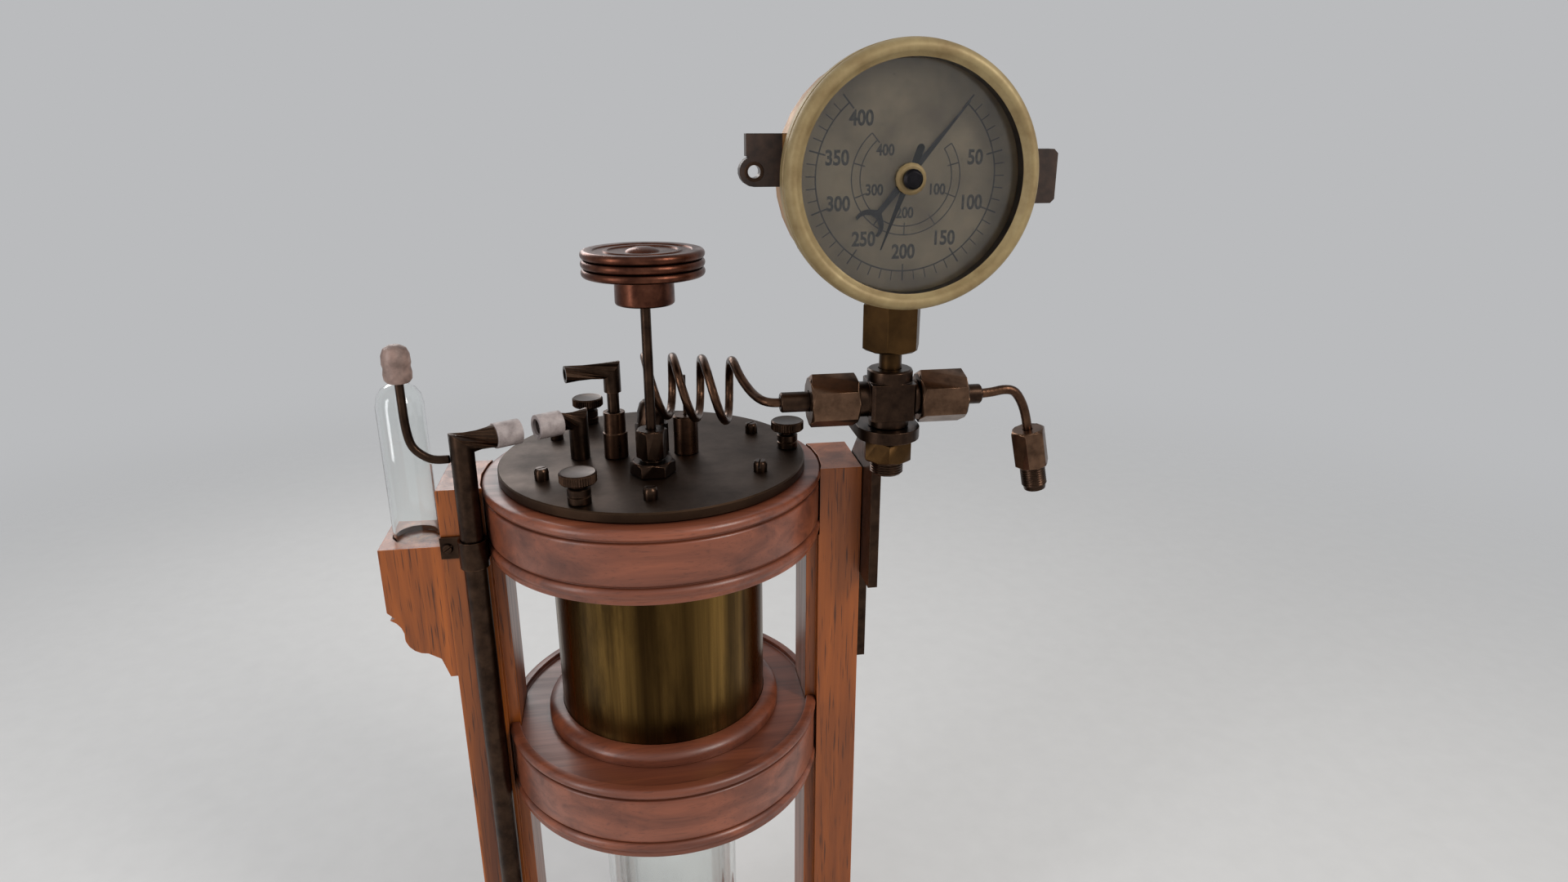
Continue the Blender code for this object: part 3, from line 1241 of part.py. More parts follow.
def make_gauge_case(frame):
    inner = CASE_RADIUS - CASE_WALL
    floor = -CASE_BACK + CASE_WALL
    profile = [(0, -CASE_BACK), (CASE_RADIUS - 2 * EDGE, -CASE_BACK), (CASE_RADIUS, -CASE_BACK + 2 * EDGE),
               (CASE_RADIUS, CASE_FRONT), (inner, CASE_FRONT), (inner, floor), (0, floor)]
    case = piece("gauge_case", lathe(profile, SEG_LARGE), "case_brass", parent=frame)
    reach = STEM_BLOCK_RADIUS + SEAT
    hole = drill(reach, -2 * CASE_RADIUS, -STEM_BLOCK_TOP, SEG_SMALL)
    cut(case, tool("case_stem_hole", hole, turn=(-math.pi / 2, 0, 0), parent=frame))

    root = inner + CASE_WALL / 2
    front = LUG_BACK + LUG_THICKNESS
    eye = arc((EYE_X, EYE_Y), EYE_RIM, 110, 270, 8)
    eye += [(-root * 0.985, EYE_Y - EYE_RIM), (-root * 0.93, EYE_BLOCK_TOP), (EYE_BLOCK_LEFT, EYE_BLOCK_TOP),
            (EYE_BLOCK_LEFT, EYE_Y + EYE_RIM)]
    join(case, tool("left_lug", prism(eye, LUG_BACK, front), parent=frame))
    hole = drill(EYE_RADIUS, LUG_BACK - front, 2 * front, SEG_DRILL, EYE_X, EYE_Y)
    cut(case, tool("lug_eye", hole, parent=frame))
    half = LUG_HALF_HEIGHT
    corner = LUG_REACH - LUG_CORNER
    tab = [(root * 0.97, -half), (corner, -half), (LUG_REACH, LUG_CORNER - half),
           (LUG_REACH, half - LUG_CORNER), (corner, half), (root * 0.97, half)]
    join(case, tool("right_lug", prism(tab, LUG_BACK, front), parent=frame))


def make_bezel_and_glass(frame):
    skirt = CASE_RADIUS + SEAT
    glass = CASE_RADIUS - SEAT
    back = GLASS_FRONT + SEAT
    crown = (BEZEL_RADIUS - BEZEL_OPENING) / 2
    middle = (BEZEL_RADIUS + BEZEL_OPENING) / 2
    profile = [(skirt, BEZEL_SKIRT), (BEZEL_RADIUS, BEZEL_SKIRT), (BEZEL_RADIUS, BEZEL_SHOULDER)]
    profile += [(middle + crown * math.cos(a), BEZEL_SHOULDER + (BEZEL_FRONT - BEZEL_SHOULDER) * math.sin(a))
                for a in (math.radians(35), math.radians(65), math.radians(95), math.radians(125))]
    profile += [(BEZEL_OPENING, BEZEL_LIP), (BEZEL_OPENING, back), (skirt, back)]
    piece("gauge_bezel", lathe(profile, SEG_LARGE), "pale_brass", closed=True, parent=frame)

    bore = BUSH_SPIGOT + SEAT
    profile = [(bore, GLASS_BACK), (glass, GLASS_BACK), (glass, GLASS_FRONT), (bore, GLASS_FRONT)]
    piece("gauge_glass", lathe(profile, SEG_MEDIUM), "clear_glass", closed=True, parent=frame)

    rise = GLASS_FRONT + SEAT
    profile = [(BUSH_BORE, GLASS_BACK), (BUSH_SPIGOT, GLASS_BACK), (BUSH_SPIGOT, rise), (BUSH_RADIUS, rise),
               (BUSH_RADIUS, rise + BUSH_RISE * 0.5), (BUSH_RADIUS * 0.85, rise + BUSH_RISE),
               (BUSH_BORE, rise + BUSH_RISE)]
    piece("glass_bush", lathe(profile, SEG_SMALL), "pale_brass", closed=True, parent=frame)

    high = DIAL_DEPTH + DIAL_THICKNESS
    edge = CASE_RADIUS - CASE_WALL - SEAT
    hole = ARBOR_RADIUS + 2 * RUNNING
    disc = [(hole, DIAL_DEPTH), (edge, DIAL_DEPTH), (edge, high), (hole, high)]
    piece("gauge_dial", lathe(disc, SEG_MEDIUM), "dial_enamel", closed=True, parent=frame)


def make_bourdon(frame):
    inner = BOURDON_RADIUS - BOURDON_THICKNESS / 2
    start = -math.pi / 2 + math.asin((STEM_BLOCK_RADIUS + SEAT) / inner)
    half = BOURDON_WIDTH / 2
    bulge = BOURDON_THICKNESS / 2
    flank = half * 0.55
    section = [(bulge, -flank), (bulge, flank), (0, half), (-bulge, flank), (-bulge, -flank), (0, -half)]
    rings = []
    for i in range(BOURDON_POINTS + 1):
        angle = start + BOURDON_SWEEP * i / BOURDON_POINTS
        rings.append([Vector(((BOURDON_RADIUS + r) * math.cos(angle), (BOURDON_RADIUS + r) * math.sin(angle),
                              BOURDON_DEPTH + z)) for r, z in section])
    piece("bourdon_tube", rings, "aged_brass", parent=frame)


def make_movement(frame):
    foot = -STEM_BLOCK_TOP + SEAT
    corner = -SECTOR_PIVOT * 0.9
    outline = [(PLATE_HALF_WIDTH * 0.35, foot), (PLATE_HALF_WIDTH, corner),
               (PLATE_HALF_WIDTH, -PLATE_SHOULDER), (PLATE_HEAD_HALF, PLATE_HEAD)]
    outline += [(-x, y) for x, y in reversed(outline)]
    plates = [prism(outline, low, low + PLATE_THICKNESS) for low in (PLATE_BACK, PLATE_FRONT)]
    movement = piece("movement_frame", plates, "aged_brass", parent=frame)
    inset = PLATE_HALF_WIDTH - PILLAR_INSET
    level = (corner - PLATE_SHOULDER) / 2
    near = PLATE_BACK + PLATE_THICKNESS / 2
    pillars = []
    for x, y, top in ((inset, level, DIAL_DEPTH - SEAT), (-inset, level, DIAL_DEPTH - SEAT),
                      (0, PLATE_HEAD - PILLAR_INSET, PLATE_FRONT + PLATE_THICKNESS / 2)):
        pillar = lathe([(0, near), (PILLAR_RADIUS, near), (PILLAR_RADIUS, top), (0, top)], SEG_DRILL)
        pillars.append([[point + Vector((x, y, 0)) for point in points] for points in pillar])
    join(movement, tool("movement_pillars", pillars, parent=frame))
    holes = [drill(ARBOR_HOLE, 2 * PLATE_BACK, DIAL_DEPTH, SEG_DRILL, 0, y) for y in (0, -SECTOR_PIVOT)]
    cut(movement, tool("arbor_holes", holes, parent=frame))


def tooth(centre, pitch_angle, root, tip):
    """Outline points of one gear tooth, going anticlockwise."""
    points = []
    for radius, share in ((root, -TOOTH_ROOT), (tip, -TOOTH_TIP), (tip, TOOTH_TIP), (root, TOOTH_ROOT)):
        angle = centre + share * pitch_angle
        points.append((radius * math.cos(angle), radius * math.sin(angle)))
    return points


def make_gears(frame):
    pitch_angle = 2 * math.pi / PINION_TEETH
    radius = GEAR_MODULE * PINION_TEETH / 2
    outline = []
    for i in range(PINION_TEETH):
        outline += tooth(-math.pi / 2 + pitch_angle * (i + 0.5), pitch_angle, radius - DEDENDUM * GEAR_MODULE,
                         radius + ADDENDUM * GEAR_MODULE)
    arbor = piece("pointer_arbor", prism(outline, PINION_BACK, PINION_FRONT), "blued_steel", parent=frame)
    top = POINTER_DEPTH - SEAT
    shaft = lathe([(0, PLATE_BACK), (ARBOR_RADIUS, PLATE_BACK), (ARBOR_RADIUS, top), (0, top)], SEG_DRILL)
    join(arbor, tool("arbor_shaft", shaft, parent=frame))

    pitch_angle = 2 * math.pi / SECTOR_TEETH
    radius = GEAR_MODULE * SECTOR_TEETH / 2
    root = radius - DEDENDUM * GEAR_MODULE
    outline = []
    for i in range(SECTOR_FIRST, SECTOR_LAST + 1):
        outline += tooth(math.pi / 2 + pitch_angle * i, pitch_angle, root, radius + ADDENDUM * GEAR_MODULE)
    first = math.pi / 2 + pitch_angle * SECTOR_FIRST
    last = math.pi / 2 + pitch_angle * SECTOR_LAST
    inner = root - SECTOR_RIM
    middle = (first + last) / 2
    hub = SECTOR_HUB_RADIUS
    outline += [(inner * math.cos(last), inner * math.sin(last))]
    outline += [(inner * math.cos(middle + 0.16), inner * math.sin(middle + 0.16))]
    outline += [(hub * math.cos(middle + a), hub * math.sin(middle + a)) for a in (0.6, 1.2, 1.9)]
    outline += [(hub * math.cos(middle + a), hub * math.sin(middle + a)) for a in (2.6, 3.3, 4.0)]
    outline += [(hub * math.cos(middle + a), hub * math.sin(middle + a)) for a in (-1.6, -1.1, -0.6)]
    outline += [(inner * math.cos(middle - 0.16), inner * math.sin(middle - 0.16))]
    outline += [(inner * math.cos(first), inner * math.sin(first))]
    place = (0, -SECTOR_PIVOT, 0)
    rings = prism(outline, SECTOR_BACK, SECTOR_FRONT)
    sector = piece("sector_gear", rings, "aged_brass", place, parent=frame)
    front = PLATE_FRONT + PLATE_THICKNESS
    shaft = lathe([(0, PLATE_BACK), (ARBOR_RADIUS, PLATE_BACK), (ARBOR_RADIUS, front), (0, front)], SEG_DRILL)
    join(sector, tool("sector_shaft", shaft, place, parent=frame))


def pointer_outline(length, tail_points):
    """A pointer along local +X: tapered blade, round hub and the given tail."""
    hub = POINTER_HUB_RADIUS
    blade = math.degrees(math.asin(POINTER_ROOT_HALF / hub))
    outline = [(length, -POINTER_TIP_HALF), (length, POINTER_TIP_HALF)]
    outline += arc((0, 0), hub, blade, 180 - blade, 6)
    outline += tail_points
    outline += arc((0, 0), hub, 180 + blade, 360 - blade, 6)
    return outline


def make_pointers(frame):
    centre = -POINTER_TAIL
    half = POINTER_ROOT_HALF * 0.8
    horns = arc((centre - CRESCENT_RADIUS, 0), CRESCENT_RADIUS, 10, 100, 5)
    bite = CRESCENT_WIDTH * 0.6
    inner = arc((centre - CRESCENT_RADIUS - bite, 0), CRESCENT_RADIUS - bite, 95, -95, 8)
    lower = arc((centre - CRESCENT_RADIUS, 0), CRESCENT_RADIUS, -100, -10, 5)
    tail = [(centre + 0.0006, half)] + horns[1:] + inner + lower[:-1] + [(centre + 0.0006, -half)]
    rings = prism(pointer_outline(POINTER_LENGTH, tail), POINTER_DEPTH, POINTER_DEPTH + POINTER_THICKNESS)
    piece("main_pointer", rings, "blued_steel", turn=(0, 0, DIAL_ZERO), parent=frame)

    tail = arc((-MAXIMUM_TAIL + MAXIMUM_TAIL_HALF, 0), MAXIMUM_TAIL_HALF, 90, 270, 4)
    rings = prism(pointer_outline(MAXIMUM_LENGTH, tail), MAXIMUM_DEPTH, MAXIMUM_DEPTH + POINTER_THICKNESS)
    reading = DIAL_ZERO - MAXIMUM_READING * DIAL_PER_UNIT
    piece("maximum_pointer", rings, "blued_steel", turn=(0, 0, reading), parent=frame)

    low = MAXIMUM_DEPTH + POINTER_THICKNESS + SEAT
    collar = GLASS_FRONT + SEAT + BUSH_RISE + SEAT
    profile = [(0, low), (KNOB_SHAFT, low), (KNOB_SHAFT, collar), (KNOB_RADIUS, collar),
               (KNOB_RADIUS, KNOB_FRONT - KNOB_EDGE), (KNOB_RADIUS - KNOB_EDGE, KNOB_FRONT), (0, KNOB_FRONT)]
    piece("reset_knob", lathe(profile, SEG_SMALL), "blued_steel", parent=frame)


def make_gauge():
    frame = make_gauge_frame()
    make_gauge_stem()
    make_gauge_case(frame)
    make_bezel_and_glass(frame)
    make_bourdon(frame)
    make_movement(frame)
    make_gears(frame)
    make_pointers(frame)


def main():
    for old in list(bpy.data.objects):
        bpy.data.objects.remove(old, do_unlink=True)
    make_base()
    make_posts()
    make_rings()
    make_jacket()
    make_lid()
    make_flask()
    make_exchanger()
    make_valve()
    make_gland()
    make_handwheel()
    make_inlet()
    make_rear_socket()
    make_vent()
    make_return_and_exhaust()
    make_pipe_clip()
    make_branch()
    make_corbel()
    make_thumb_screws()
    make_bracket()
    make_cross()
    make_unions()
    make_coil_pipe()
    make_supply()
    make_gauge()


main()
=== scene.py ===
"""Looks of the bench gas liquefier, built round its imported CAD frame.

Metres, in the frame of the CAD: +Z up, +X right, -Y front.
"""
import json
import math
import random

import bmesh
import bpy
from mathutils import Matrix, Vector


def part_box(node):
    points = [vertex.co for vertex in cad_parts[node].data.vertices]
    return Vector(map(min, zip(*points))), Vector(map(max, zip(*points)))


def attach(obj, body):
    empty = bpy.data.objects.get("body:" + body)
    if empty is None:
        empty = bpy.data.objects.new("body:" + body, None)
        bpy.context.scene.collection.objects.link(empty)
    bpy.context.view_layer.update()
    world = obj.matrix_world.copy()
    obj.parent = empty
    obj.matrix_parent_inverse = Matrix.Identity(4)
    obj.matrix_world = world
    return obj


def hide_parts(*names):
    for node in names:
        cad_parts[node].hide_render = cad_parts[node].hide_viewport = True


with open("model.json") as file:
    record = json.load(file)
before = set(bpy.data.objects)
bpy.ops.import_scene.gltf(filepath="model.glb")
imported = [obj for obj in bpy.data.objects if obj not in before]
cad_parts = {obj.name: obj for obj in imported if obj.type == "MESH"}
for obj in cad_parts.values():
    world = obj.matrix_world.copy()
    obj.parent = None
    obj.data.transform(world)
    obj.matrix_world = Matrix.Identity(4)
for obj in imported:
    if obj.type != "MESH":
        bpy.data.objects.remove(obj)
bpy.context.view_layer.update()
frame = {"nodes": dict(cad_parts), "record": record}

STAND = "stand"
MM = 0.001
FIT_GAP = 0.3 * MM    # clearance where one piece sits in another

# Places taken from the frame
LID_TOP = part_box("lid_plate")[1].z
JACKET_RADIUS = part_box("brass_jacket")[1].x
DIAL_LOW, DIAL_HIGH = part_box("gauge_dial")
GAUGE_CENTRE = (DIAL_LOW + DIAL_HIGH) / 2
DIAL_FACE = DIAL_LOW.y
CASE_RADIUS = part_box("gauge_case")[1].z - GAUGE_CENTRE.z
AXIS_Y = sum(corner.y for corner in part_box("gauge_stem")) / 2
GAUGE_TURN = Matrix.Rotation(math.pi / 2, 4, "X")

# Photograph's camera
CAMERA_PLACE = Vector((-0.00734, -0.53624, LID_TOP + 0.18892))
CAMERA_TURN = (math.radians(71.2), 0.0, math.radians(-9.15))
CAMERA_LENS = 21.57
CAMERA_SENSOR = 36.0


# Shader building blocks
def put(tree, kind, inputs=None, **settings):
    """Add a node, set its properties, and fill its inputs with values or links."""
    node = tree.nodes.new(kind)
    for key, value in settings.items():
        setattr(node, key, value)
    for key, value in (inputs or {}).items():
        if isinstance(value, bpy.types.NodeSocket):
            tree.links.new(value, node.inputs[key])
        else:
            node.inputs[key].default_value = value
    return node


def place(tree, scale):
    """Object coordinates stretched by a scale per axis."""
    coordinates = put(tree, "ShaderNodeTexCoord").outputs["Object"]
    return put(tree, "ShaderNodeMapping", {"Vector": coordinates, "Scale": scale}).outputs["Vector"]


def noise(tree, scale, detail=4.0, roughness=0.55, distortion=0.0):
    """Noise with a size per axis, given in cycles per metre."""
    return put(tree, "ShaderNodeTexNoise", {
        "Vector": place(tree, scale), "Scale": 1.0, "Detail": detail, "Roughness": roughness,
        "Distortion": distortion}).outputs["Fac"]


def level(tree, value, low, high, out_low=0.0, out_high=1.0):
    """Stretch a range of values to another."""
    return put(tree, "ShaderNodeMapRange", {
        "Value": value, "From Min": low, "From Max": high,
        "To Min": out_low, "To Max": out_high}).outputs["Result"]


def math_node(tree, operation, a, b):
    return put(tree, "ShaderNodeMath", {0: a, 1: b}, operation=operation).outputs["Value"]


def mix(tree, share, a, b):
    """Blend two colours."""
    return put(tree, "ShaderNodeMix", {0: share, 6: a, 7: b}, data_type="RGBA").outputs[2]


def rgb(red, green, blue):
    """A colour written as 0 to 255, as it looks on a screen, made linear."""
    def linear(value):
        value /= 255
        return value / 12.92 if value <= 0.04045 else ((value + 0.055) / 1.055) ** 2.4
    return (linear(red), linear(green), linear(blue), 1.0)


def scaled(colour, factor):
    """A colour made darker or lighter."""
    return tuple(min(1.0, part * factor) for part in colour[:3]) + (1.0,)


def off_centre(tree, x):
    """Distance along X from a plane, either way."""
    coordinates = put(tree, "ShaderNodeTexCoord").outputs["Object"]
    across = put(tree, "ShaderNodeSeparateXYZ", {"Vector": coordinates}).outputs["X"]
    shift = math_node(tree, "SUBTRACT", across, x)
    return put(tree, "ShaderNodeMath", {0: shift}, operation="ABSOLUTE").outputs["Value"]


def edges(tree, radius, spread):
    """1 along worn edges, 0 on flats."""
    rounded = put(tree, "ShaderNodeBevel", {"Radius": radius}, samples=4).outputs["Normal"]
    true = put(tree, "ShaderNodeNewGeometry").outputs["Normal"]
    dot = put(tree, "ShaderNodeVectorMath", {0: rounded, 1: true}, operation="DOT_PRODUCT").outputs["Value"]
    return level(tree, dot, 1.0, 1.0 - spread)


def hollows(tree, distance):
    """Ambient occlusion mask for painted shade: 1 in deep corners, 0 in the open."""
    open_share = put(tree, "ShaderNodeAmbientOcclusion", {"Distance": distance}, samples=6).outputs["AO"]
    return level(tree, open_share, 0.75, 0.25)


def bump(tree, height, strength, distance):
    return put(tree, "ShaderNodeBump", {
        "Height": height, "Strength": strength, "Distance": distance}).outputs["Normal"]


def start(name):
    """A new material with its node tree and Principled shader."""
    material = bpy.data.materials.new(name)
    material.use_nodes = True
    return material, material.node_tree, material.node_tree.nodes["Principled BSDF"]


def feed(tree, shader, **sockets):
    """Link outputs to the shader's sockets by name."""
    for name, socket in sockets.items():
        tree.links.new(socket, shader.inputs[name.replace("_", " ")])


# Materials
def metal(name, body, shade, worn, rough=(0.28, 0.5), grain=(120, 120, 120), wear=0.45, metallic=1.0,
          wear_radius=0.6 * MM):
    """Patinated metal: blotchy colour, painted shade in corners, edges rubbed bright, partly real wear and
    partly a painted edge highlight.
    """
    material, tree, shader = start(name)
    blotch = noise(tree, grain, 6.0, 0.62)
    colour = mix(tree, level(tree, blotch, 0.35, 0.68), body, shade)
    scuff = noise(tree, tuple(4.2 * g for g in grain), 3.0)
    patchy = level(tree, scuff, 0.34, 0.62, 0.25, 1.0)
    # Edges take the worn colour: real rubbed wear, and where the worn colour is lighter, also a painted edge
    # highlight.
    edge_mask = math_node(tree, "MULTIPLY", edges(tree, wear_radius, 0.30), patchy)
    colour = mix(tree, math_node(tree, "MULTIPLY", edge_mask, wear), colour, worn)
    # Painted shade: corners and recesses darkened by ambient occlusion.
    colour = mix(tree, hollows(tree, 3 * MM), colour, scaled(shade, 0.35))
    fine = noise(tree, (1400, 1400, 1400), 2.0)
    feed(tree, shader, Base_Color=colour, Roughness=level(tree, blotch, 0.3, 0.72, *rough),
         Normal=bump(tree, fine, 0.10, 0.1 * MM))
    shader.inputs["Metallic"].default_value = metallic
    return material


def wood(name, light, dark, along, pores=0.35):
    """Polished wood with streaks and open pores along one axis."""
    material, tree, shader = start(name)

    def grain(across, length):
        return tuple(length if axis == along else across for axis in range(3))

    streak = noise(tree, grain(75, 4), 5.0, 0.6, 0.6)
    band = noise(tree, grain(14, 1.5), 3.0, 0.5, 0.8)
    colour = mix(tree, level(tree, streak, 0.32, 0.68), light, dark)
    colour = mix(tree, level(tree, band, 0.42, 0.75, 0.0, 0.65), colour, dark)
    pore = level(tree, noise(tree, grain(1100, 38), 2.0, 0.5), 0.58, 0.70)
    colour = mix(tree, math_node(tree, "MULTIPLY", pore, pores), colour, scaled(dark, 0.35))
    edge_mask = edges(tree, 1.0 * MM, 0.35)
    colour = mix(tree, math_node(tree, "MULTIPLY", edge_mask, 0.35), colour, scaled(light, 1.7))
    # Painted shade: hollows darkened by ambient occlusion.
    painted_hollow_shade = level(tree, hollows(tree, 6 * MM), 0, 1, 0, 0.8)
    colour = mix(tree, painted_hollow_shade, colour, scaled(dark, 0.3))
    feed(tree, shader, Base_Color=colour, Roughness=level(tree, streak, 0.3, 0.7, 0.30, 0.46),
         Normal=bump(tree, pore, -0.25, 0.15 * MM))
    shader.inputs["Coat Weight"].default_value = 0.12
    shader.inputs["Coat Roughness"].default_value = 0.22
    return material


def case_brass(name):
    """Lacquered tan on the gauge's drum, with dark fixing lugs at its sides."""
    material = metal(name, rgb(176, 131, 79), rgb(134, 94, 52), rgb(86, 56, 30), (0.40, 0.56), (60, 60, 60),
                     0.6, 0.35)
    tree = material.node_tree
    shader = tree.nodes["Principled BSDF"]
    drum = shader.inputs["Base Color"].links[0].from_socket
    away = off_centre(tree, GAUGE_CENTRE.x)
    lug = level(tree, away, CASE_RADIUS + 0.2 * MM, CASE_RADIUS + 0.6 * MM)
    stain = noise(tree, (150, 150, 150), 4.0)
    dark = mix(tree, level(tree, stain, 0.35, 0.7), rgb(66, 48, 38), rgb(38, 28, 23))
    feed(tree, shader, Base_Color=mix(tree, lug, drum, dark))
    return material


# Half widths of the painted dark reflection down the jacket's front and back: full strength within the core,
# none past the edge.
PAINTED_REFLECTION_CORE = 14 * MM
PAINTED_REFLECTION_EDGE = 30 * MM


def streaked_brass(name):
    """The jacket's brass: drawn vertically, stained in streaks, with a painted dark reflection down its front
    and back.
    """
    material, tree, shader = start(name)
    streak = noise(tree, (130, 130, 3), 5.0, 0.6)
    stain = noise(tree, (38, 38, 9), 5.0, 0.6)
    colour = mix(tree, level(tree, streak, 0.35, 0.66), rgb(132, 102, 54), rgb(74, 55, 27))
    colour = mix(tree, level(tree, stain, 0.48, 0.70, 0.0, 0.8), colour, rgb(30, 20, 9))
    # Painted reflection: a strip down the front and back darkened to stand in for the dark room mirrored in
    # the brass.
    painted_reflection = level(tree, off_centre(tree, 0.0), PAINTED_REFLECTION_CORE, PAINTED_REFLECTION_EDGE, 0.7, 0.0)
    colour = mix(tree, painted_reflection, colour, rgb(40, 26, 11))
    fine = noise(tree, (900, 900, 12), 2.0)
    feed(tree, shader, Base_Color=colour, Roughness=level(tree, streak, 0.3, 0.7, 0.20, 0.40),
         Normal=bump(tree, fine, 0.12, 0.08 * MM))
    shader.inputs["Metallic"].default_value = 1.0
    return material


def clear_glass(name):
    """Old blown glass with faint waviness."""
    material, tree, shader = start(name)
    wave = noise(tree, (28, 28, 12), 2.0)
    haze = noise(tree, (60, 60, 20), 4.0)
    feed(tree, shader, Normal=bump(tree, wave, 0.10, 0.5 * MM),
         Roughness=level(tree, haze, 0.45, 0.8, 0.02, 0.12))
    shader.inputs["Base Color"].default_value = (0.97, 0.985, 0.98, 1.0)
    shader.inputs["Transmission Weight"].default_value = 1.0
    shader.inputs["IOR"].default_value = 1.46
    return material


def dial_paint(name):
    """Aged matt dial, clouded and spotted."""
    material, tree, shader = start(name)
    spots = noise(tree, (420, 420, 420), 4.0)
    cloud = noise(tree, (40, 40, 40), 4.0)
    colour = mix(tree, level(tree, cloud, 0.35, 0.68), rgb(134, 117, 92), rgb(100, 86, 67))
    colour = mix(tree, level(tree, spots, 0.62, 0.76, 0.0, 0.5), colour, rgb(72, 62, 50))
    feed(tree, shader, Base_Color=colour, Roughness=level(tree, cloud, 0.3, 0.7, 0.5, 0.7))
    return material


def rubber(name, light, dark):
    """Aged rubber with a dusty bloom."""
    material, tree, shader = start(name)
    bloom = noise(tree, (160, 160, 160), 5.0, 0.6)
    speck = noise(tree, (1200, 1200, 1200), 2.0)
    colour = mix(tree, level(tree, bloom, 0.35, 0.68), light, dark)
    feed(tree, shader, Base_Color=colour, Roughness=level(tree, bloom, 0.3, 0.7, 0.42, 0.68),
         Normal=bump(tree, speck, 0.15, 0.1 * MM))
    return material


def cork(name):
    material, tree, shader = start(name)
    grain = noise(tree, (260, 260, 260), 6.0, 0.7)
    colour = mix(tree, level(tree, grain, 0.35, 0.62), rgb(186, 140, 92), rgb(96, 62, 36))
    feed(tree, shader, Base_Color=colour, Normal=bump(tree, grain, 0.5, 0.4 * MM))
    shader.inputs["Roughness"].default_value = 0.9
    return material


def ink(name):
    """Faded black print."""
    material, tree, shader = start(name)
    worn = noise(tree, (500, 500, 500), 3.0)
    feed(tree, shader, Base_Color=mix(tree, level(tree, worn, 0.4, 0.7), rgb(30, 27, 24), rgb(66, 60, 52)))
    shader.inputs["Roughness"].default_value = 0.7
    return material


BRONZE = metal("bronze_patina", rgb(68, 51, 40), rgb(42, 31, 25), rgb(170, 126, 98), (0.28, 0.36), wear=0.5)
BROWN = metal("brown_bronze", rgb(98, 71, 54), rgb(60, 41, 31), rgb(196, 152, 120), (0.24, 0.40), wear=0.5)
COPPER = metal("wheel_copper", rgb(108, 66, 50), rgb(66, 38, 29), rgb(200, 146, 118), (0.24, 0.42), wear=0.55)
STEM_BRASS = metal("stem_brass", rgb(84, 60, 34), rgb(46, 32, 19), rgb(156, 118, 68), (0.32, 0.50),
                   (45, 45, 45))
UNION = metal("union_bronze", rgb(116, 88, 69), rgb(78, 58, 45), rgb(190, 148, 118), (0.28, 0.38), wear=0.5)
SLOTS = {
    "mahogany": wood("mahogany_polish", rgb(150, 83, 56), rgb(92, 47, 31), 0),
    "oak": wood("oak_varnish", rgb(194, 103, 31), rgb(104, 49, 12), 2, pores=0.85),
    "dark_bronze": BRONZE,
    "lid_bronze": metal("lid_patina", rgb(72, 54, 41), rgb(52, 39, 30), rgb(134, 104, 78), (0.40, 0.56),
                        (30, 30, 30), 0.6),
    "copper_bronze": BROWN,
    "aged_brass": streaked_brass("jacket_brass"),
    "pale_brass": metal("bezel_brass", rgb(160, 140, 98), rgb(130, 108, 70), rgb(86, 60, 36), (0.48, 0.64),
                        (70, 70, 70), 0.85, 0.3, 1.4 * MM),
    "case_brass": case_brass("case_lacquer"),
    "clear_glass": clear_glass("blown_glass"),
    "dial_enamel": dial_paint("dial_face"),
    "blued_steel": metal("blued_steel_worn", rgb(46, 44, 46), rgb(28, 27, 29), rgb(112, 106, 102),
                         (0.28, 0.46)),
    "grey_rubber": rubber("grey_sleeve", rgb(184, 170, 166), rgb(138, 126, 123)),
    "pink_rubber": rubber("stopper_rubber", rgb(152, 125, 114), rgb(108, 88, 80)),
    "cork": cork("cork_pad"),
}
LOOKS = {
    "handwheel": COPPER,
    "gauge_stem": STEM_BRASS,
    "bracket_lock_nut": STEM_BRASS,
    "left_union_nut": UNION,
    "right_union_nut": UNION,
    "supply_nut": UNION,
}
INK = ink("dial_ink")
SLOT_OF = {part["node"]: part["material_slot"] for part in frame["record"]["subparts"]}
BODY_OF = {node: body for body, nodes in frame["record"]["behaviour"]["bodies"].items() for node in nodes}


# Finish on the CAD nodes that stay
def smoothing_group(angle):
    """Modifier that welds the nodes' facets and keeps only true edges sharp."""
    group = bpy.data.node_groups.new("smooth_facets", "GeometryNodeTree")
    group.interface.new_socket("Geometry", in_out="INPUT", socket_type="NodeSocketGeometry")
    group.interface.new_socket("Geometry", in_out="OUTPUT", socket_type="NodeSocketGeometry")
    entry = group.nodes.new("NodeGroupInput")
    bare = put(group, "GeometryNodeRemoveAttribute", {"Geometry": entry.outputs[0], "Name": "custom_normal"})
    weld = put(group, "GeometryNodeMergeByDistance", {"Geometry": bare.outputs[0], "Distance": 0.01 * MM})
    soft = put(group, "GeometryNodeSetShadeSmooth", {
        "Geometry": weld.outputs[0], "Shade Smooth": True}, domain="FACE")
    corner = put(group, "GeometryNodeInputMeshEdgeAngle")
    sharp = put(group, "FunctionNodeCompare", {0: corner.outputs[0], 1: angle}, data_type="FLOAT",
                operation="GREATER_THAN")
    hard = put(group, "GeometryNodeSetShadeSmooth", {
        "Geometry": soft.outputs[0], "Selection": sharp.outputs[0], "Shade Smooth": False}, domain="EDGE")
    leave = group.nodes.new("NodeGroupOutput")
    group.links.new(hard.outputs[0], leave.inputs[0])
    return group


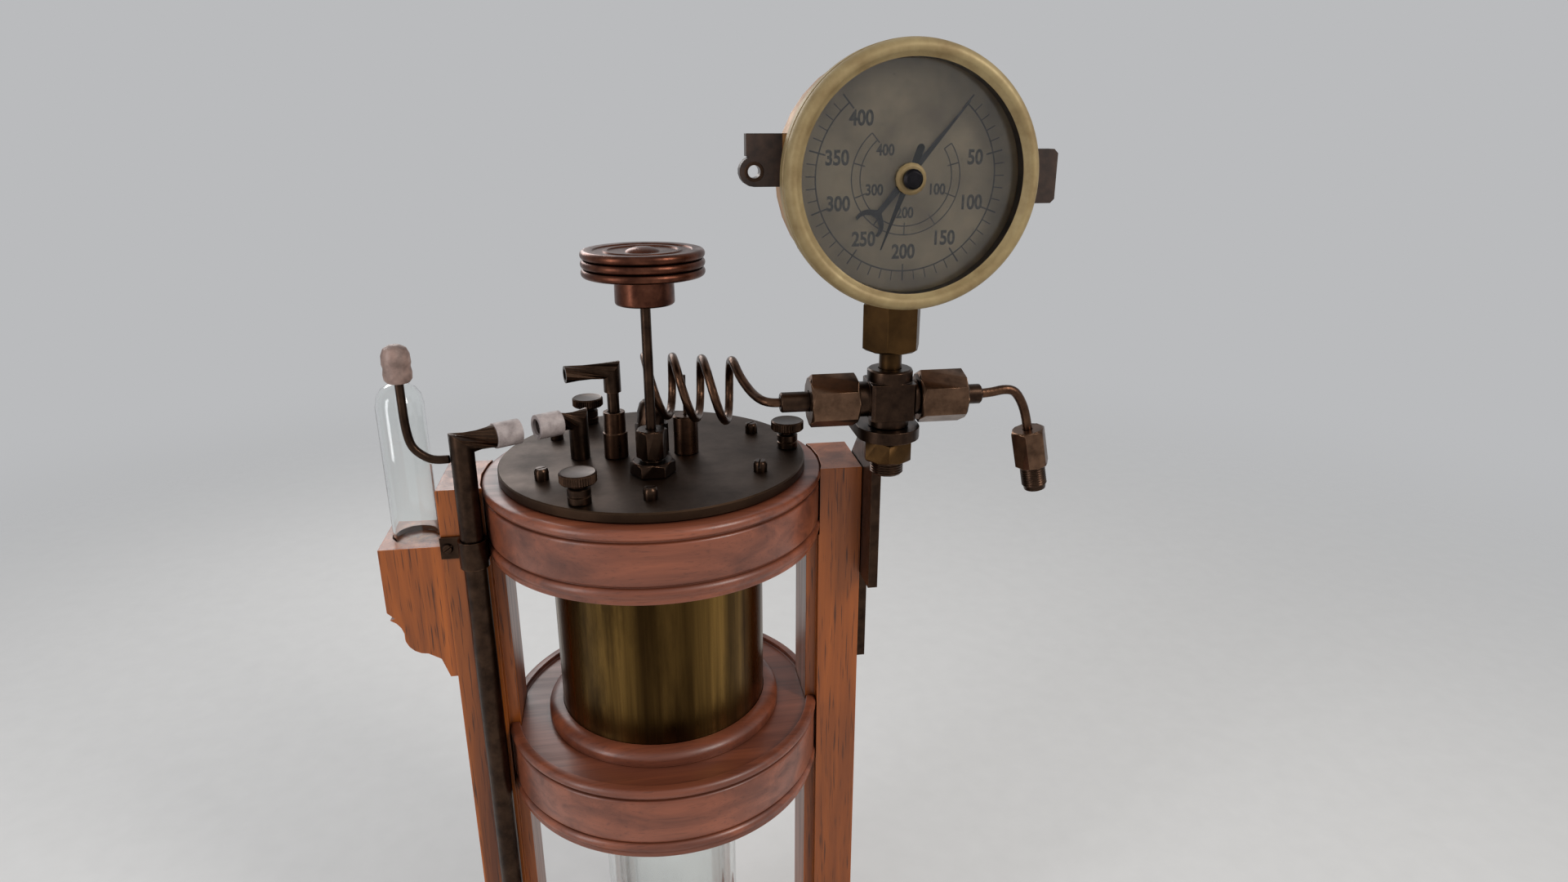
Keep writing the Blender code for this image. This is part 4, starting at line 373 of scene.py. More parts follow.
SMOOTH_ANGLE = math.radians(33)
BEVEL_ANGLE = math.radians(42)
SMOOTHING = smoothing_group(SMOOTH_ANGLE)
EDGE_ROUND = 0.35 * MM
PIPES = ("coil_pipe", "supply_pipe", "branch_pipe", "exchanger_winding")
PIPE_SWELL = 0.28 * MM
MITRED = ("vent_elbow", "exhaust_pipe", "return_elbow")


def round_edges(node):
    """A small bevel along a node's true edges."""
    bevel = node.modifiers.new("edge", "BEVEL")
    bevel.limit_method = "ANGLE"
    bevel.angle_limit = BEVEL_ANGLE
    bevel.width = EDGE_ROUND
    bevel.segments = 2
    bevel.harden_normals = True


def dress_nodes(skip):
    """Give every CAD node that still shows its material and soft shading."""
    for name, node in frame["nodes"].items():
        if name in skip:
            continue
        node.data.materials.clear()
        node.data.materials.append(LOOKS.get(name, SLOTS[SLOT_OF[name]]))
        smooth = node.modifiers.new("smooth", "NODES")
        smooth.node_group = SMOOTHING
        if name in PIPES:
            rounder = node.modifiers.new("round", "SUBSURF")
            rounder.levels = 2
            rounder.render_levels = 2
            swell = node.modifiers.new("swell", "DISPLACE")
            swell.strength = PIPE_SWELL
            swell.mid_level = 0.0
        elif name not in MITRED:
            round_edges(node)


# Mesh building blocks
SHARP_ANGLE = 40    # degrees
SIDES = 96          # of a round piece
LARGE_SIDES = 128
SMALL_SIDES = 48
SCREW_SIDES = 32


def mesh_from(name, bm, material, sharp=SHARP_ANGLE):
    """A smooth-shaded object from a bmesh."""
    bmesh.ops.recalc_face_normals(bm, faces=bm.faces)
    mesh = bpy.data.meshes.new(name)
    bm.to_mesh(mesh)
    bm.free()
    mesh.shade_smooth()
    mesh.set_sharp_from_angle(angle=math.radians(sharp))
    mesh.materials.append(material)
    made = bpy.data.objects.new(name, mesh)
    bpy.context.scene.collection.objects.link(made)
    return made


def ring_points(radius, z, count):
    """A ring of points at a height, or the single point on the axis."""
    if radius <= 0:
        return [Vector((0, 0, z))]
    angles = [2 * math.pi * i / count for i in range(count)]
    return [Vector((radius * math.cos(angle), radius * math.sin(angle), z)) for angle in angles]


def skin(bm, rings, closed=False):
    """Join rings of equal length, or single points, into one skin."""
    loops = [[bm.verts.new(point) for point in points] for points in rings]
    pairs = list(zip(loops, loops[1:]))
    if closed:
        pairs.append((loops[-1], loops[0]))
    for first, second in pairs:
        count = max(len(first), len(second))
        for i in range(count):
            j = (i + 1) % count
            corners = [first[i % len(first)], first[j % len(first)],
                       second[j % len(second)], second[i % len(second)]]
            face = list(dict.fromkeys(corners))
            if len(face) > 2:
                bm.faces.new(face)
    if not closed:
        for loop in (loops[0], loops[-1]):
            if len(loop) > 2:
                bm.faces.new(loop)


def turned(name, profile, material, count=SIDES, closed=False, matrix=None, sharp=SHARP_ANGLE):
    """A lathe shape from (radius, height) points, moved by a matrix."""
    bm = bmesh.new()
    skin(bm, [ring_points(r, z, count) for r, z in profile], closed)
    if matrix:
        bmesh.ops.transform(bm, matrix=matrix, verts=bm.verts)
    return mesh_from(name, bm, material, sharp)


def arc(centre, radius, first, last, steps):
    """Points along an arc in the plane of a profile, between two angles in degrees."""
    points = []
    for i in range(steps + 1):
        angle = math.radians(first + (last - first) * i / steps)
        points.append((centre[0] + radius * math.cos(angle), centre[1] + radius * math.sin(angle)))
    return points


def box_object(name, a, b):
    """A plain block between two corners."""
    low = [min(p, q) for p, q in zip(a, b)]
    high = [max(p, q) for p, q in zip(a, b)]
    plan = ((low[0], low[1]), (high[0], low[1]), (high[0], high[1]), (low[0], high[1]))
    bm = bmesh.new()
    skin(bm, [[Vector((x, y, z)) for x, y in plan] for z in (low[2], high[2])])
    return mesh_from(name, bm, BRONZE)


def cut(obj, *cutters):
    """Cut blocks out of an object's mesh, and remove the blocks."""
    for cutter in cutters:
        step = obj.modifiers.new("cut", "BOOLEAN")
        step.operation = "DIFFERENCE"
        step.solver = "EXACT"
        step.object = cutter
    graph = bpy.context.evaluated_depsgraph_get()
    mesh = bpy.data.meshes.new_from_object(obj.evaluated_get(graph))
    obj.modifiers.clear()
    obj.data = mesh
    mesh.set_sharp_from_angle(angle=math.radians(SHARP_ANGLE))
    for cutter in cutters:
        bpy.data.objects.remove(cutter, do_unlink=True)
    return obj


REPLACED = set()


def stand_for(obj, *nodes):
    """obj takes these nodes' place and body."""
    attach(obj, BODY_OF[nodes[0]])
    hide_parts(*nodes)
    REPLACED.update(nodes)


def trim(obj, body):
    """obj is a small extra piece on a body."""
    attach(obj, body)


# Turned wood and metal
def moulded_side(radius, top, foot):
    """Moulding down a wooden ring: bead, quirk and fillet, frieze, then quirk and ogee at the foot."""
    bead = 3.1 * MM
    side = [(radius - 6.5 * MM, top)]
    side += arc((radius - bead, top - bead), bead, 90, -75, 10)
    side += [(radius - 2.9 * MM, top - 6.5 * MM), (radius - 2.9 * MM, top - 7.1 * MM)]
    side += arc((radius - 2.6 * MM, top - 8.9 * MM), 1.6 * MM, 90, 0, 4)
    frieze = radius - 1.0 * MM
    side += [(frieze, top - 9.4 * MM), (frieze, foot + 12.4 * MM)]
    side += arc((radius - 2.5 * MM, foot + 12.2 * MM), 1.4 * MM, 0, -90, 4)
    side += [(radius - 2.8 * MM, foot + 10.2 * MM)]
    side += arc((radius - 3.3 * MM, foot + 6.6 * MM), 3.3 * MM, 80, -30, 8)
    side += arc((radius + 1.2 * MM, foot + 2.6 * MM), 2.6 * MM, 140, 200, 4)
    side += [(radius - 1.7 * MM, foot + 0.6 * MM), (radius - 2.9 * MM, foot)]
    return side


def make_upper_ring():
    low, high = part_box("upper_ring")
    bore = JACKET_RADIUS + FIT_GAP
    profile = [(bore, low.z), (bore, high.z)] + moulded_side(high.x, high.z, low.z)
    stand_for(turned("ring_upper", profile, SLOTS["mahogany"], LARGE_SIDES, True), "upper_ring")


RECESS_DEPTH = 3.0 * MM
RECESS_LIP = 6.3 * MM         # width of the lip round the lower ring's recess
HOUSING_HALF = 18.8 * MM      # half width of a post's housing in the lower ring
SHOULDER_HALF = 24.3 * MM     # half width of the wider cut outside the housing
SHOULDER_DEPTH = 6.5 * MM
CUT_REACH = 130 * MM


def make_lower_ring():
    """Ring with a recessed top, housed round the two posts."""
    low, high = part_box("lower_ring")
    radius = high.y
    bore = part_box("flask_outer")[1].x + FIT_GAP
    floor = high.z - RECESS_DEPTH
    lip = radius - RECESS_LIP
    profile = [(bore, low.z), (bore, floor), (lip - 0.6 * MM, floor), (lip, floor + 0.6 * MM),
               (lip, high.z - 0.8 * MM), (lip + 0.5 * MM, high.z)]
    profile += moulded_side(radius, high.z, low.z)[2:]
    ring = turned("ring_lower", profile, SLOTS["mahogany"], LARGE_SIDES, True)
    cutters = []
    for side, post in ((-1, "left_post"), (1, "right_post")):
        inner = min(abs(corner.x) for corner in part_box(post)) - FIT_GAP
        for near, half in ((inner, HOUSING_HALF), (inner + SHOULDER_DEPTH, SHOULDER_HALF)):
            cutters.append(box_object("cutter", (side * near, -half, low.z - MM),
                                      (side * CUT_REACH, half, high.z + MM)))
    stand_for(cut(ring, *cutters), "lower_ring")


LID_EDGE = 0.7 * MM
JACKET_WALL = 1.5 * MM
COLLAR_STRAIGHT = 0.4         # share of the collar's height below its quarter round


def make_lid():
    low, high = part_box("lid_plate")
    radius = high.x
    inner = radius - LID_EDGE
    profile = [(0, low.z), (inner, low.z), (radius, low.z + LID_EDGE), (radius, high.z - LID_EDGE),
               (inner, high.z), (0, high.z)]
    stand_for(turned("lid", profile, SLOTS["lid_bronze"], LARGE_SIDES), "lid_plate")


def make_jacket():
    low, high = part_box("brass_jacket")
    inner = JACKET_RADIUS - JACKET_WALL
    profile = [(JACKET_RADIUS, low.z), (JACKET_RADIUS, high.z), (inner, high.z), (inner, low.z)]
    stand_for(turned("jacket", profile, SLOTS["aged_brass"], LARGE_SIDES, True), "brass_jacket")


def make_collar():
    """Wooden collar round the jacket, rounded over at its top."""
    low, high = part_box("jacket_collar")
    bore = JACKET_RADIUS + FIT_GAP
    width = high.x - bore
    rise = high.z - low.z
    profile = [(bore, low.z), (bore + width, low.z)]
    for degrees in range(0, 90, 9):
        angle = math.radians(degrees)
        share = COLLAR_STRAIGHT + (1 - COLLAR_STRAIGHT) * math.sin(angle)
        profile.append((bore + width * math.cos(angle), low.z + rise * share))
    profile.append((bore, high.z))
    stand_for(turned("collar", profile, SLOTS["mahogany"], LARGE_SIDES, True), "jacket_collar")


FLASK_WALL = 2.2 * MM
LINER_RADIUS = 36.5 * MM
LINER_WALL = 1.8 * MM
LINER_RIM = 2.0 * MM
BOTTOM_START = -86            # degrees, where the round of a bottom leaves its flat tip
BOTTOM_STEPS = 16


def round_bottom(base, radius):
    """A round bottom as (radius, height) points, from its axis to its side."""
    return [(0, base)] + arc((0, base + radius), radius, BOTTOM_START, 0, BOTTOM_STEPS)


def make_flask():
    """The two walls of the glass flask."""
    low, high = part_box("flask_outer")
    radius = high.x
    inner = radius - FLASK_WALL
    profile = round_bottom(low.z, radius) + [(radius, high.z), (inner, high.z)]
    profile += reversed(round_bottom(low.z + FLASK_WALL, inner))
    stand_for(turned("flask_wall", profile, SLOTS["clear_glass"]), "flask_outer")
    low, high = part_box("flask_liner")
    inner = LINER_RADIUS - LINER_WALL
    rim = high.z - LINER_RIM
    profile = round_bottom(low.z, LINER_RADIUS) + [(LINER_RADIUS, rim), (high.x, rim)]
    profile += arc((high.x - MM, high.z - MM), MM, 0, 90, 3) + [(inner, high.z)]
    profile += reversed(round_bottom(low.z + LINER_WALL, inner))
    stand_for(turned("flask_inner", profile, SLOTS["clear_glass"]), "flask_liner")


WHEEL_RIBS = 3
RIB_DEPTH = 2.2 * MM
HUB_RADIUS = 16 * MM
HUB_HEIGHT = 15 * MM          # from the wheel's foot to the underside of its rim
HUB_ROUND = 1.6 * MM
SOCKET_RADIUS = 3.1 * MM      # of the spindle's socket in the hub
SOCKET_DEPTH = 20 * MM


def make_handwheel():
    """Ribbed wheel with a dished, stepped top and a plain hub."""
    low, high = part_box("handwheel")
    centre = (low + high) / 2
    rim = (high.y - low.y) / 2 - RIB_DEPTH
    floor = low.z + HUB_HEIGHT
    socket = low.z + SOCKET_DEPTH
    top = high.z - 1.2 * MM
    rib = (top - floor) / WHEEL_RIBS
    foot = HUB_RADIUS - HUB_ROUND
    profile = [(0, socket), (SOCKET_RADIUS, socket), (SOCKET_RADIUS, low.z), (foot, low.z)]
    profile += arc((foot, low.z + HUB_ROUND), HUB_ROUND, -75, 0, 4)
    profile += [(HUB_RADIUS - 0.2 * MM, floor - 0.5 * MM), (HUB_RADIUS + 0.4 * MM, floor),
                (rim - 0.8 * MM, floor)]
    for k in range(WHEEL_RIBS):
        if k > 0:
            profile.append((rim + 0.1 * MM, floor + rib * k))
        middle = floor + rib * (k + 0.5)
        for degrees in range(-78, 79, 12):
            angle = math.radians(degrees)
            profile.append((rim + RIB_DEPTH * math.cos(angle), middle + rib / 2 * math.sin(angle)))
    profile += [(rim - 0.3 * MM, top), (rim - 4.2 * MM, top - 0.2 * MM), (rim - 4.8 * MM, top - 0.9 * MM),
                (rim - 9.5 * MM, top - 1.0 * MM), (rim - 10.0 * MM, top - 0.3 * MM),
                (rim - 11.8 * MM, top - 0.3 * MM), (rim - 12.4 * MM, top - 1.1 * MM),
                (9.2 * MM, top - 1.3 * MM), (8.6 * MM, top - 0.6 * MM), (6.8 * MM, top + 0.2 * MM),
                (4.4 * MM, top + 0.9 * MM), (1.8 * MM, high.z), (0, high.z)]
    matrix = Matrix.Translation((centre.x, centre.y, 0))
    stand_for(turned("wheel", profile, COPPER, matrix=matrix, sharp=34), "handwheel")


KNURLS = 44
KNURL_ROOT = 0.955            # radius at a knurl's root over that at its crest
KNOB_RADIUS = 9.9 * MM
KNOB_LIFT = 11.5 * MM         # underside of the knob above the lid
PIN_RADIUS = 3 * MM
FOOT_RADIUS = 6.25 * MM
FOOT_GROOVE = 5.7 * MM
NECK_RADIUS = 4.2 * MM


def make_thumb_screws():
    """Knurled thumb screws with a turned foot."""
    count = 2 * KNURLS
    foot = LID_TOP + FIT_GAP
    bottom = LID_TOP + KNOB_LIFT
    for i in (1, 2, 3):
        node = f"thumb_screw_{i}"
        low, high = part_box(node)
        centre = (low + high) / 2
        rings = [ring_points(r, z, count) for r, z in (
            (0, low.z), (PIN_RADIUS, low.z), (PIN_RADIUS, foot), (FOOT_RADIUS - 0.25 * MM, foot),
            (FOOT_RADIUS, LID_TOP + 0.6 * MM), (FOOT_RADIUS, LID_TOP + 4.0 * MM),
            (FOOT_GROOVE, LID_TOP + 4.5 * MM), (FOOT_RADIUS, LID_TOP + 5.0 * MM),
            (FOOT_RADIUS, LID_TOP + 8.4 * MM), (FOOT_GROOVE, LID_TOP + 9.0 * MM),
            (NECK_RADIUS, LID_TOP + 9.2 * MM), (NECK_RADIUS, bottom), (KNOB_RADIUS - 0.9 * MM, bottom))]
        for z in (bottom + 0.8 * MM, high.z - 0.8 * MM):
            crests = ring_points(KNOB_RADIUS, z, count)
            shares = [1.0, KNURL_ROOT] * KNURLS
            rings.append([Vector((p.x * share, p.y * share, z)) for p, share in zip(crests, shares)])
        rings += [ring_points(r, z, count) for r, z in (
            (KNOB_RADIUS - 0.9 * MM, high.z - 0.1 * MM), (KNOB_RADIUS - 1.6 * MM, high.z - 0.25 * MM),
            (0, high.z - 0.25 * MM))]
        bm = bmesh.new()
        skin(bm, rings)
        bmesh.ops.translate(bm, vec=(centre.x, centre.y, 0), verts=bm.verts)
        stand_for(mesh_from(f"thumb_{i}", bm, BRONZE, 30), node)


THREAD_PITCH = 1.4 * MM
THREAD_DEPTH = 0.55 * MM
NIPPLE_LENGTH = 14 * MM
NIPPLE_RADIUS = 7 * MM
STUB_RADIUS = 8.7 * MM


def thread(radius, low, high):
    """Crests and roots of a thread between two heights, as (radius, height) points."""
    turns = int((high - low) / THREAD_PITCH)
    points = []
    for k in range(turns):
        crest = low + THREAD_PITCH * (k + 0.25)
        points += [(radius, crest), (radius, crest + THREAD_PITCH * 0.2),
                   (radius - THREAD_DEPTH, crest + THREAD_PITCH / 2)]
    return points


def make_threads():
    """The supply nut's threaded nipple and the end of the cross fitting's stub."""
    nut, nipple = [sum(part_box(node), Vector()) / 2 for node in ("supply_nut", "supply_nipple")]
    turn = (nipple - nut).to_track_quat("Z", "Y").to_matrix().to_4x4()
    half = NIPPLE_LENGTH / 2
    profile = [(0, -half), (NIPPLE_RADIUS - THREAD_DEPTH, -half)]
    profile += thread(NIPPLE_RADIUS, 0.5 * MM - half, half - MM)
    profile += [(NIPPLE_RADIUS - MM, half), (0, half)]
    matrix = Matrix.Translation(nipple) @ turn
    stand_for(turned("nipple", profile, BRONZE, SMALL_SIDES, matrix=matrix), "supply_nipple")
    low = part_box("cross_fitting")[0]
    stem = sum(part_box("gauge_stem"), Vector()) / 2
    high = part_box("bracket_lock_nut")[0].z - 0.2 * MM
    profile = [(STUB_RADIUS - MM, low.z + MM)] + thread(STUB_RADIUS + 0.3 * MM, low.z + MM, high)
    profile += [(STUB_RADIUS - MM, high)]
    matrix = Matrix.Translation((stem.x, stem.y, 0))
    stub = turned("stub_thread", profile, BRONZE, SMALL_SIDES, True, matrix)
    trim(stub, STAND)


# Gauge
def gauge_matrix(depth=0.0):
    """Dial plane to world, with depth measured forward from the dial's face."""
    return Matrix.Translation((GAUGE_CENTRE.x, DIAL_FACE - depth, GAUGE_CENTRE.z)) @ GAUGE_TURN


BEZEL_OPENING = 53.7 * MM
BEZEL_CROWN = 6.0 * MM        # height of the rounded front


def make_bezel():
    """Bezel with a rounded front and an inner wall painted dark as shade."""
    low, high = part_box("gauge_bezel")
    low_glass, high_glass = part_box("gauge_glass")
    radius = (high.x - low.x) / 2
    opening = BEZEL_OPENING
    skirt = high_glass.x - GAUGE_CENTRE.x + 0.6 * MM
    depth = DIAL_FACE - low.y
    rear = DIAL_FACE - high.y
    glass = DIAL_FACE - (low_glass.y - FIT_GAP)
    middle = (radius + opening) / 2
    half = (radius - opening) / 2
    shoulder = depth - BEZEL_CROWN
    profile = [(skirt, rear), (radius - 0.8 * MM, rear), (radius, rear + 0.8 * MM),
               (radius, shoulder - 1.2 * MM), (radius - 0.5 * MM, shoulder - 0.8 * MM),
               (radius - 0.5 * MM, shoulder - 0.3 * MM)]
    for a in range(4, 134, 10):
        crown = math.radians(a)
        profile.append((middle + (half - 0.3 * MM) * math.cos(crown),
                        shoulder + (depth - shoulder) * math.sin(crown)))
    profile += [(opening + 0.9 * MM, depth - 2.6 * MM), (opening, depth - 3.2 * MM), (opening, glass),
                (skirt, glass)]
    bezel = turned("bezel", profile, SLOTS["pale_brass"], LARGE_SIDES, True, gauge_matrix(), 36)
    # Painted shade: the inner wall inside the opening takes the dark bronze.
    bezel.data.materials.append(BRONZE)
    for face in bezel.data.polygons:
        across = face.center - GAUGE_CENTRE
        if math.hypot(across.x, across.z) < opening + 0.2 * MM:
            face.material_index = 1
    stand_for(bezel, "gauge_bezel")


DIAL_ZERO = 50.0              # degrees anticlockwise from the right
DIAL_STEP = 0.7               # degrees for one unit
DIAL_MAX = 400
MAJOR_STEP = 50
MINOR_STEP = 10
INNER_START = 20
SCALE_RADIUS = 44.6 * MM
INNER_RADII = (22.8 * MM, 27.0 * MM)
PRINT_LIFT = 0.06 * MM
PRINT_GAP = 0.01 * MM
# Name, step, radius on the dial and height of the printed numbers
FIGURES = (("figure", 50, 35.4 * MM, 9.6 * MM), ("inner_figure", 100, 16.6 * MM, 7.2 * MM))
FIGURE_WIDTH = 0.82           # of a number, over the font's own
FIGURE_WEIGHT = 0.03          # added to its strokes, over its height


def reading(value):
    """Dial angle of a reading, in radians anticlockwise from the right."""
    return math.radians(DIAL_ZERO - DIAL_STEP * value)


def band(bm, inner, outer, first, last, steps):
    """A thin raised stripe along an arc of the dial."""
    rings = []
    for i in range(steps + 1):
        angle = first + (last - first) * i / steps
        c, s = math.cos(angle), math.sin(angle)
        rings.append([Vector((r * c, r * s, z)) for r, z in ((inner, 0), (outer, 0), (outer, PRINT_LIFT),
                                                             (inner, PRINT_LIFT))])
    skin(bm, rings)


def stroke(bm, angle, inner, outer, width):
    """A radial tick."""
    half = width / 2
    across = Vector((-math.sin(angle), math.cos(angle), 0)) * half
    out = Vector((math.cos(angle), math.sin(angle), 0))
    corners = [out * inner - across, out * outer - across, out * outer + across, out * inner + across]
    skin(bm, [corners, [c + Vector((0, 0, PRINT_LIFT)) for c in corners]])


def make_scale():
    """Printed arcs and ticks of the outer and inner scales."""
    bm = bmesh.new()
    band(bm, SCALE_RADIUS - 0.35 * MM, SCALE_RADIUS + 0.35 * MM, reading(0), reading(DIAL_MAX), 96)
    for value in range(0, DIAL_MAX + 1, MINOR_STEP):
        major = value % MAJOR_STEP == 0
        inner = SCALE_RADIUS - (3.4 * MM if major else 0)
        stroke(bm, reading(value), inner, SCALE_RADIUS + 4.8 * MM, 0.75 * MM if major else 0.5 * MM)
    for radius in INNER_RADII:
        band(bm, radius - 0.28 * MM, radius + 0.28 * MM, reading(INNER_START), reading(DIAL_MAX), 72)
    for value in range(MAJOR_STEP, DIAL_MAX + 1, MAJOR_STEP):
        stroke(bm, reading(value), INNER_RADII[0] - 1.6 * MM, INNER_RADII[1], 0.6 * MM)
    for value in (INNER_START, DIAL_MAX):
        stroke(bm, reading(value), INNER_RADII[0], INNER_RADII[1], 0.55 * MM)
    bmesh.ops.transform(bm, matrix=gauge_matrix(PRINT_GAP), verts=bm.verts)
    trim(mesh_from("dial_scale", bm, INK), STAND)


def figure(value, radius, size, name):
    """A printed number, upright, centred at its reading."""
    text = bpy.data.curves.new(name, "FONT")
    text.body = str(value)
    text.size = size
    text.align_x = "CENTER"
    text.align_y = "CENTER"
    text.extrude = PRINT_LIFT / 2
    text.offset = size * FIGURE_WEIGHT
    text.materials.append(INK)
    made = bpy.data.objects.new(name, text)
    bpy.context.scene.collection.objects.link(made)
    angle = reading(value)
    spot = Matrix.Translation((radius * math.cos(angle), radius * math.sin(angle), PRINT_LIFT / 2))
    made.matrix_world = gauge_matrix(PRINT_GAP) @ spot @ Matrix.Diagonal((FIGURE_WIDTH, 1.0, 1.0, 1.0))
    trim(made, STAND)


def make_dial_print():
    """The dial's scales and numbers."""
    make_scale()
    for name, step, radius, size in FIGURES:
        for value in range(step, DIAL_MAX + 1, step):
            figure(value, radius, size, f"{name}_{value}")


# Screws: head's radius, head's height and shank's length
LID_SCREW = (4.0 * MM, 6.5 * MM, 2.0 * MM)
BRACKET_SCREW = (3.6 * MM, 1.8 * MM, 3.0 * MM)
CLIP_SCREW = (3.0 * MM, 1.6 * MM, 2.0 * MM)
CASE_SCREW = (2.6 * MM, 1.9 * MM, 1.0 * MM)


def slotted_screw(name, size, matrix, dome=0.3):
    """A screw whose slot is cut across its head. dome is the rounded share of the head's height."""
    head, height, shank = size
    profile = [(0, -shank), (head * 0.55, -shank), (head * 0.55, 0), (head, 0), (head, height * (1 - dome)),
               (head * 0.92, height * (1 - dome * 0.4)), (head * 0.75, height), (0, height)]
    screw = turned(name, profile, BRONZE, SCREW_SIDES)
    slot_half = head * 0.14
    slot = box_object("cutter", (-2 * head, -slot_half, height * 0.45), (2 * head, slot_half, 2 * height))
    cut(screw, slot)
    screw.matrix_world = matrix
    trim(screw, STAND)


LID_SCREWS = 6
LID_SCREW_CIRCLE = 70.5 * MM
LID_SCREW_START = 27          # degrees


def make_lid_screws():
    """Screws round the lid, their slots turned at random."""
    random.seed(4)
    for k in range(LID_SCREWS):
        angle = math.radians(LID_SCREW_START + 360 / LID_SCREWS * k)
        spot = Matrix.Translation((LID_SCREW_CIRCLE * math.cos(angle), LID_SCREW_CIRCLE * math.sin(angle),
                                   LID_TOP + 0.05 * MM))
        turn = Matrix.Rotation(random.uniform(0, math.pi), 4, "Z")
        slotted_screw(f"lid_screw_{k + 1}", LID_SCREW, spot @ turn)


BRACKET_THICKNESS = 6.0 * MM
BRACKET_SCREW_DROPS = (36 * MM, 66 * MM, 96 * MM, 124 * MM)    # below the lid's top


def make_small_screws():
    """Screws of the gauge bracket and the pipe clip."""
    outward = Matrix.Rotation(math.pi / 2, 4, "Y")
    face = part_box("right_post")[1].x + BRACKET_THICKNESS
    for i, drop in enumerate(BRACKET_SCREW_DROPS):
        spot = Matrix.Translation((face, -3 * MM, LID_TOP - drop))
        slotted_screw(f"bracket_screw_{i + 1}", BRACKET_SCREW, spot @ outward, dome=0.8)
    low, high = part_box("pipe_clip")
    forward = Matrix.Rotation(math.pi / 2, 4, "X")
    spot = Matrix.Translation((low.x + 4.2 * MM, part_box("left_post")[0].y - 1.8 * MM, (low.z + high.z) / 2))
    turn = Matrix.Rotation(0.6, 4, "Z")
    slotted_screw("clip_screw", CLIP_SCREW, spot @ forward @ turn, dome=0.8)


EYE_PLACE = (-73.5 * MM, 3.3 * MM)
EYE_BORE = 3.0 * MM
EYE_RIM = 4.6 * MM
EYE_EDGE = 0.3 * MM
LUG_DEPTH = (4.6 * MM, 13.4 * MM)
CASE_SCREWS = ((94, 6 * MM), (214, 8 * MM), (266, 6 * MM))    # angle in degrees, depth


def make_case_trim():
    """Round-headed screws on the gauge's drum and the bush in its left lug."""
    drum = Matrix.Translation((GAUGE_CENTRE.x, AXIS_Y, GAUGE_CENTRE.z)) @ GAUGE_TURN
    outward = Matrix.Rotation(math.pi / 2, 4, "Y")
    for i, (angle, depth) in enumerate(CASE_SCREWS):
        around = Matrix.Rotation(math.radians(angle), 4, "Z")
        spot = Matrix.Translation((CASE_RADIUS - 0.1 * MM, 0, depth))
        slotted_screw(f"case_screw_{i + 1}", CASE_SCREW, drum @ around @ spot @ outward, dome=0.9)
    eye = drum @ Matrix.Translation((EYE_PLACE[0], EYE_PLACE[1], 0))
    back, front = LUG_DEPTH
    face = EYE_RIM - EYE_EDGE
    profile = [(EYE_BORE, back), (face, back), (EYE_RIM, back + EYE_EDGE), (EYE_RIM, front - EYE_EDGE),
               (face, front), (EYE_BORE, front)]
    trim(turned("eye_bush", profile, BRONZE, SCREW_SIDES, True, eye), STAND)


# Stage
FLOOR_RADIUS = 2.4
FLOOR_FADE = 0.55


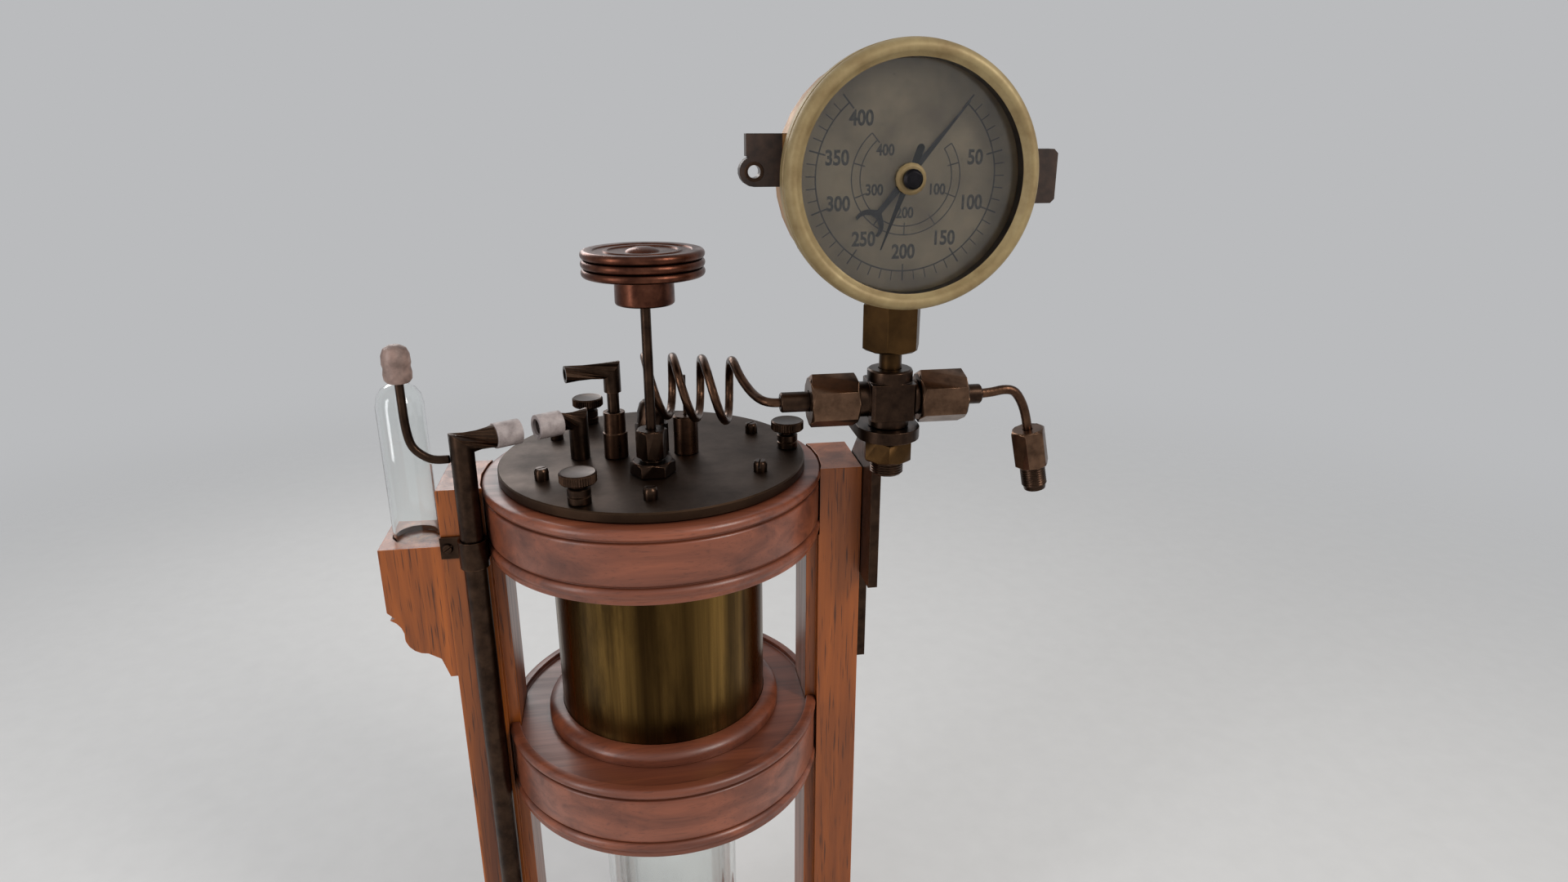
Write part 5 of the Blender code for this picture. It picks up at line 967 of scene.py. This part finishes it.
def make_floor():
    """Pale floor that keeps the object's shadow and fades into the surroundings."""
    bm = bmesh.new()
    bm.faces.new([bm.verts.new(point) for point in ring_points(FLOOR_RADIUS, 0, SIDES)])
    material, tree, shader = start("floor_paint")
    speckle = noise(tree, (40, 40, 40), 3.0)
    feed(tree, shader, Base_Color=mix(tree, speckle, rgb(216, 215, 213), rgb(224, 223, 221)))
    shader.inputs["Roughness"].default_value = 0.85
    coordinates = put(tree, "ShaderNodeTexCoord").outputs["Object"]
    distance = put(tree, "ShaderNodeVectorMath", {0: coordinates}, operation="LENGTH").outputs["Value"]
    fade = put(tree, "ShaderNodeMapRange", {
        "Value": distance, "From Min": FLOOR_FADE, "From Max": FLOOR_RADIUS * 0.98,
        "To Min": 1.0, "To Max": 0.0}, interpolation_type="SMOOTHERSTEP").outputs["Result"]
    feed(tree, shader, Alpha=fade)
    floor = mesh_from("floor", bm, material)


def make_world():
    """Even pale grey surroundings."""
    world = bpy.data.worlds.new("studio")
    bpy.context.scene.world = world
    world.use_nodes = True
    tree = world.node_tree
    tree.nodes.clear()
    grey = put(tree, "ShaderNodeBackground", {"Color": rgb(186, 187, 189), "Strength": 1.0})
    put(tree, "ShaderNodeOutputWorld", {"Surface": grey.outputs[0]})


def area_light(name, spot, target, size, energy, colour=(1, 1, 1)):
    data = bpy.data.lights.new(name, "AREA")
    data.shape = "RECTANGLE"
    data.size, data.size_y = size
    data.energy = energy
    data.color = colour
    lamp = bpy.data.objects.new(name, data)
    lamp.location = spot
    lamp.rotation_euler = (Vector(target) - Vector(spot)).to_track_quat("-Z", "Y").to_euler()
    bpy.context.scene.collection.objects.link(lamp)


def make_lights():
    aim = (0.03, -0.03, LID_TOP)
    area_light("key", (0.95, -0.95, LID_TOP + 0.85), aim, (0.35, 0.8), 11, (1.0, 0.97, 0.93))
    area_light("fill", (-1.15, -0.75, LID_TOP + 0.25), aim, (0.3, 1.1), 6, (0.97, 0.98, 1.0))
    area_light("back", (-0.5, 1.15, LID_TOP + 0.6), aim, (0.8, 0.5), 5)


def make_camera():
    data = bpy.data.cameras.new("photo_camera")
    data.lens = CAMERA_LENS
    data.sensor_width = CAMERA_SENSOR
    data.clip_start = 0.01
    camera = bpy.data.objects.new("photo_camera", data)
    camera.location = CAMERA_PLACE
    camera.rotation_euler = CAMERA_TURN
    bpy.context.scene.collection.objects.link(camera)
    bpy.context.scene.camera = camera


def main():
    bpy.context.scene.view_settings.view_transform = "Standard"
    make_upper_ring()
    make_lower_ring()
    make_lid()
    make_jacket()
    make_collar()
    make_flask()
    make_handwheel()
    make_thumb_screws()
    make_threads()
    make_bezel()
    make_dial_print()
    make_lid_screws()
    make_small_screws()
    make_case_trim()
    dress_nodes(REPLACED)
    make_floor()
    make_world()
    make_lights()
    make_camera()


main()
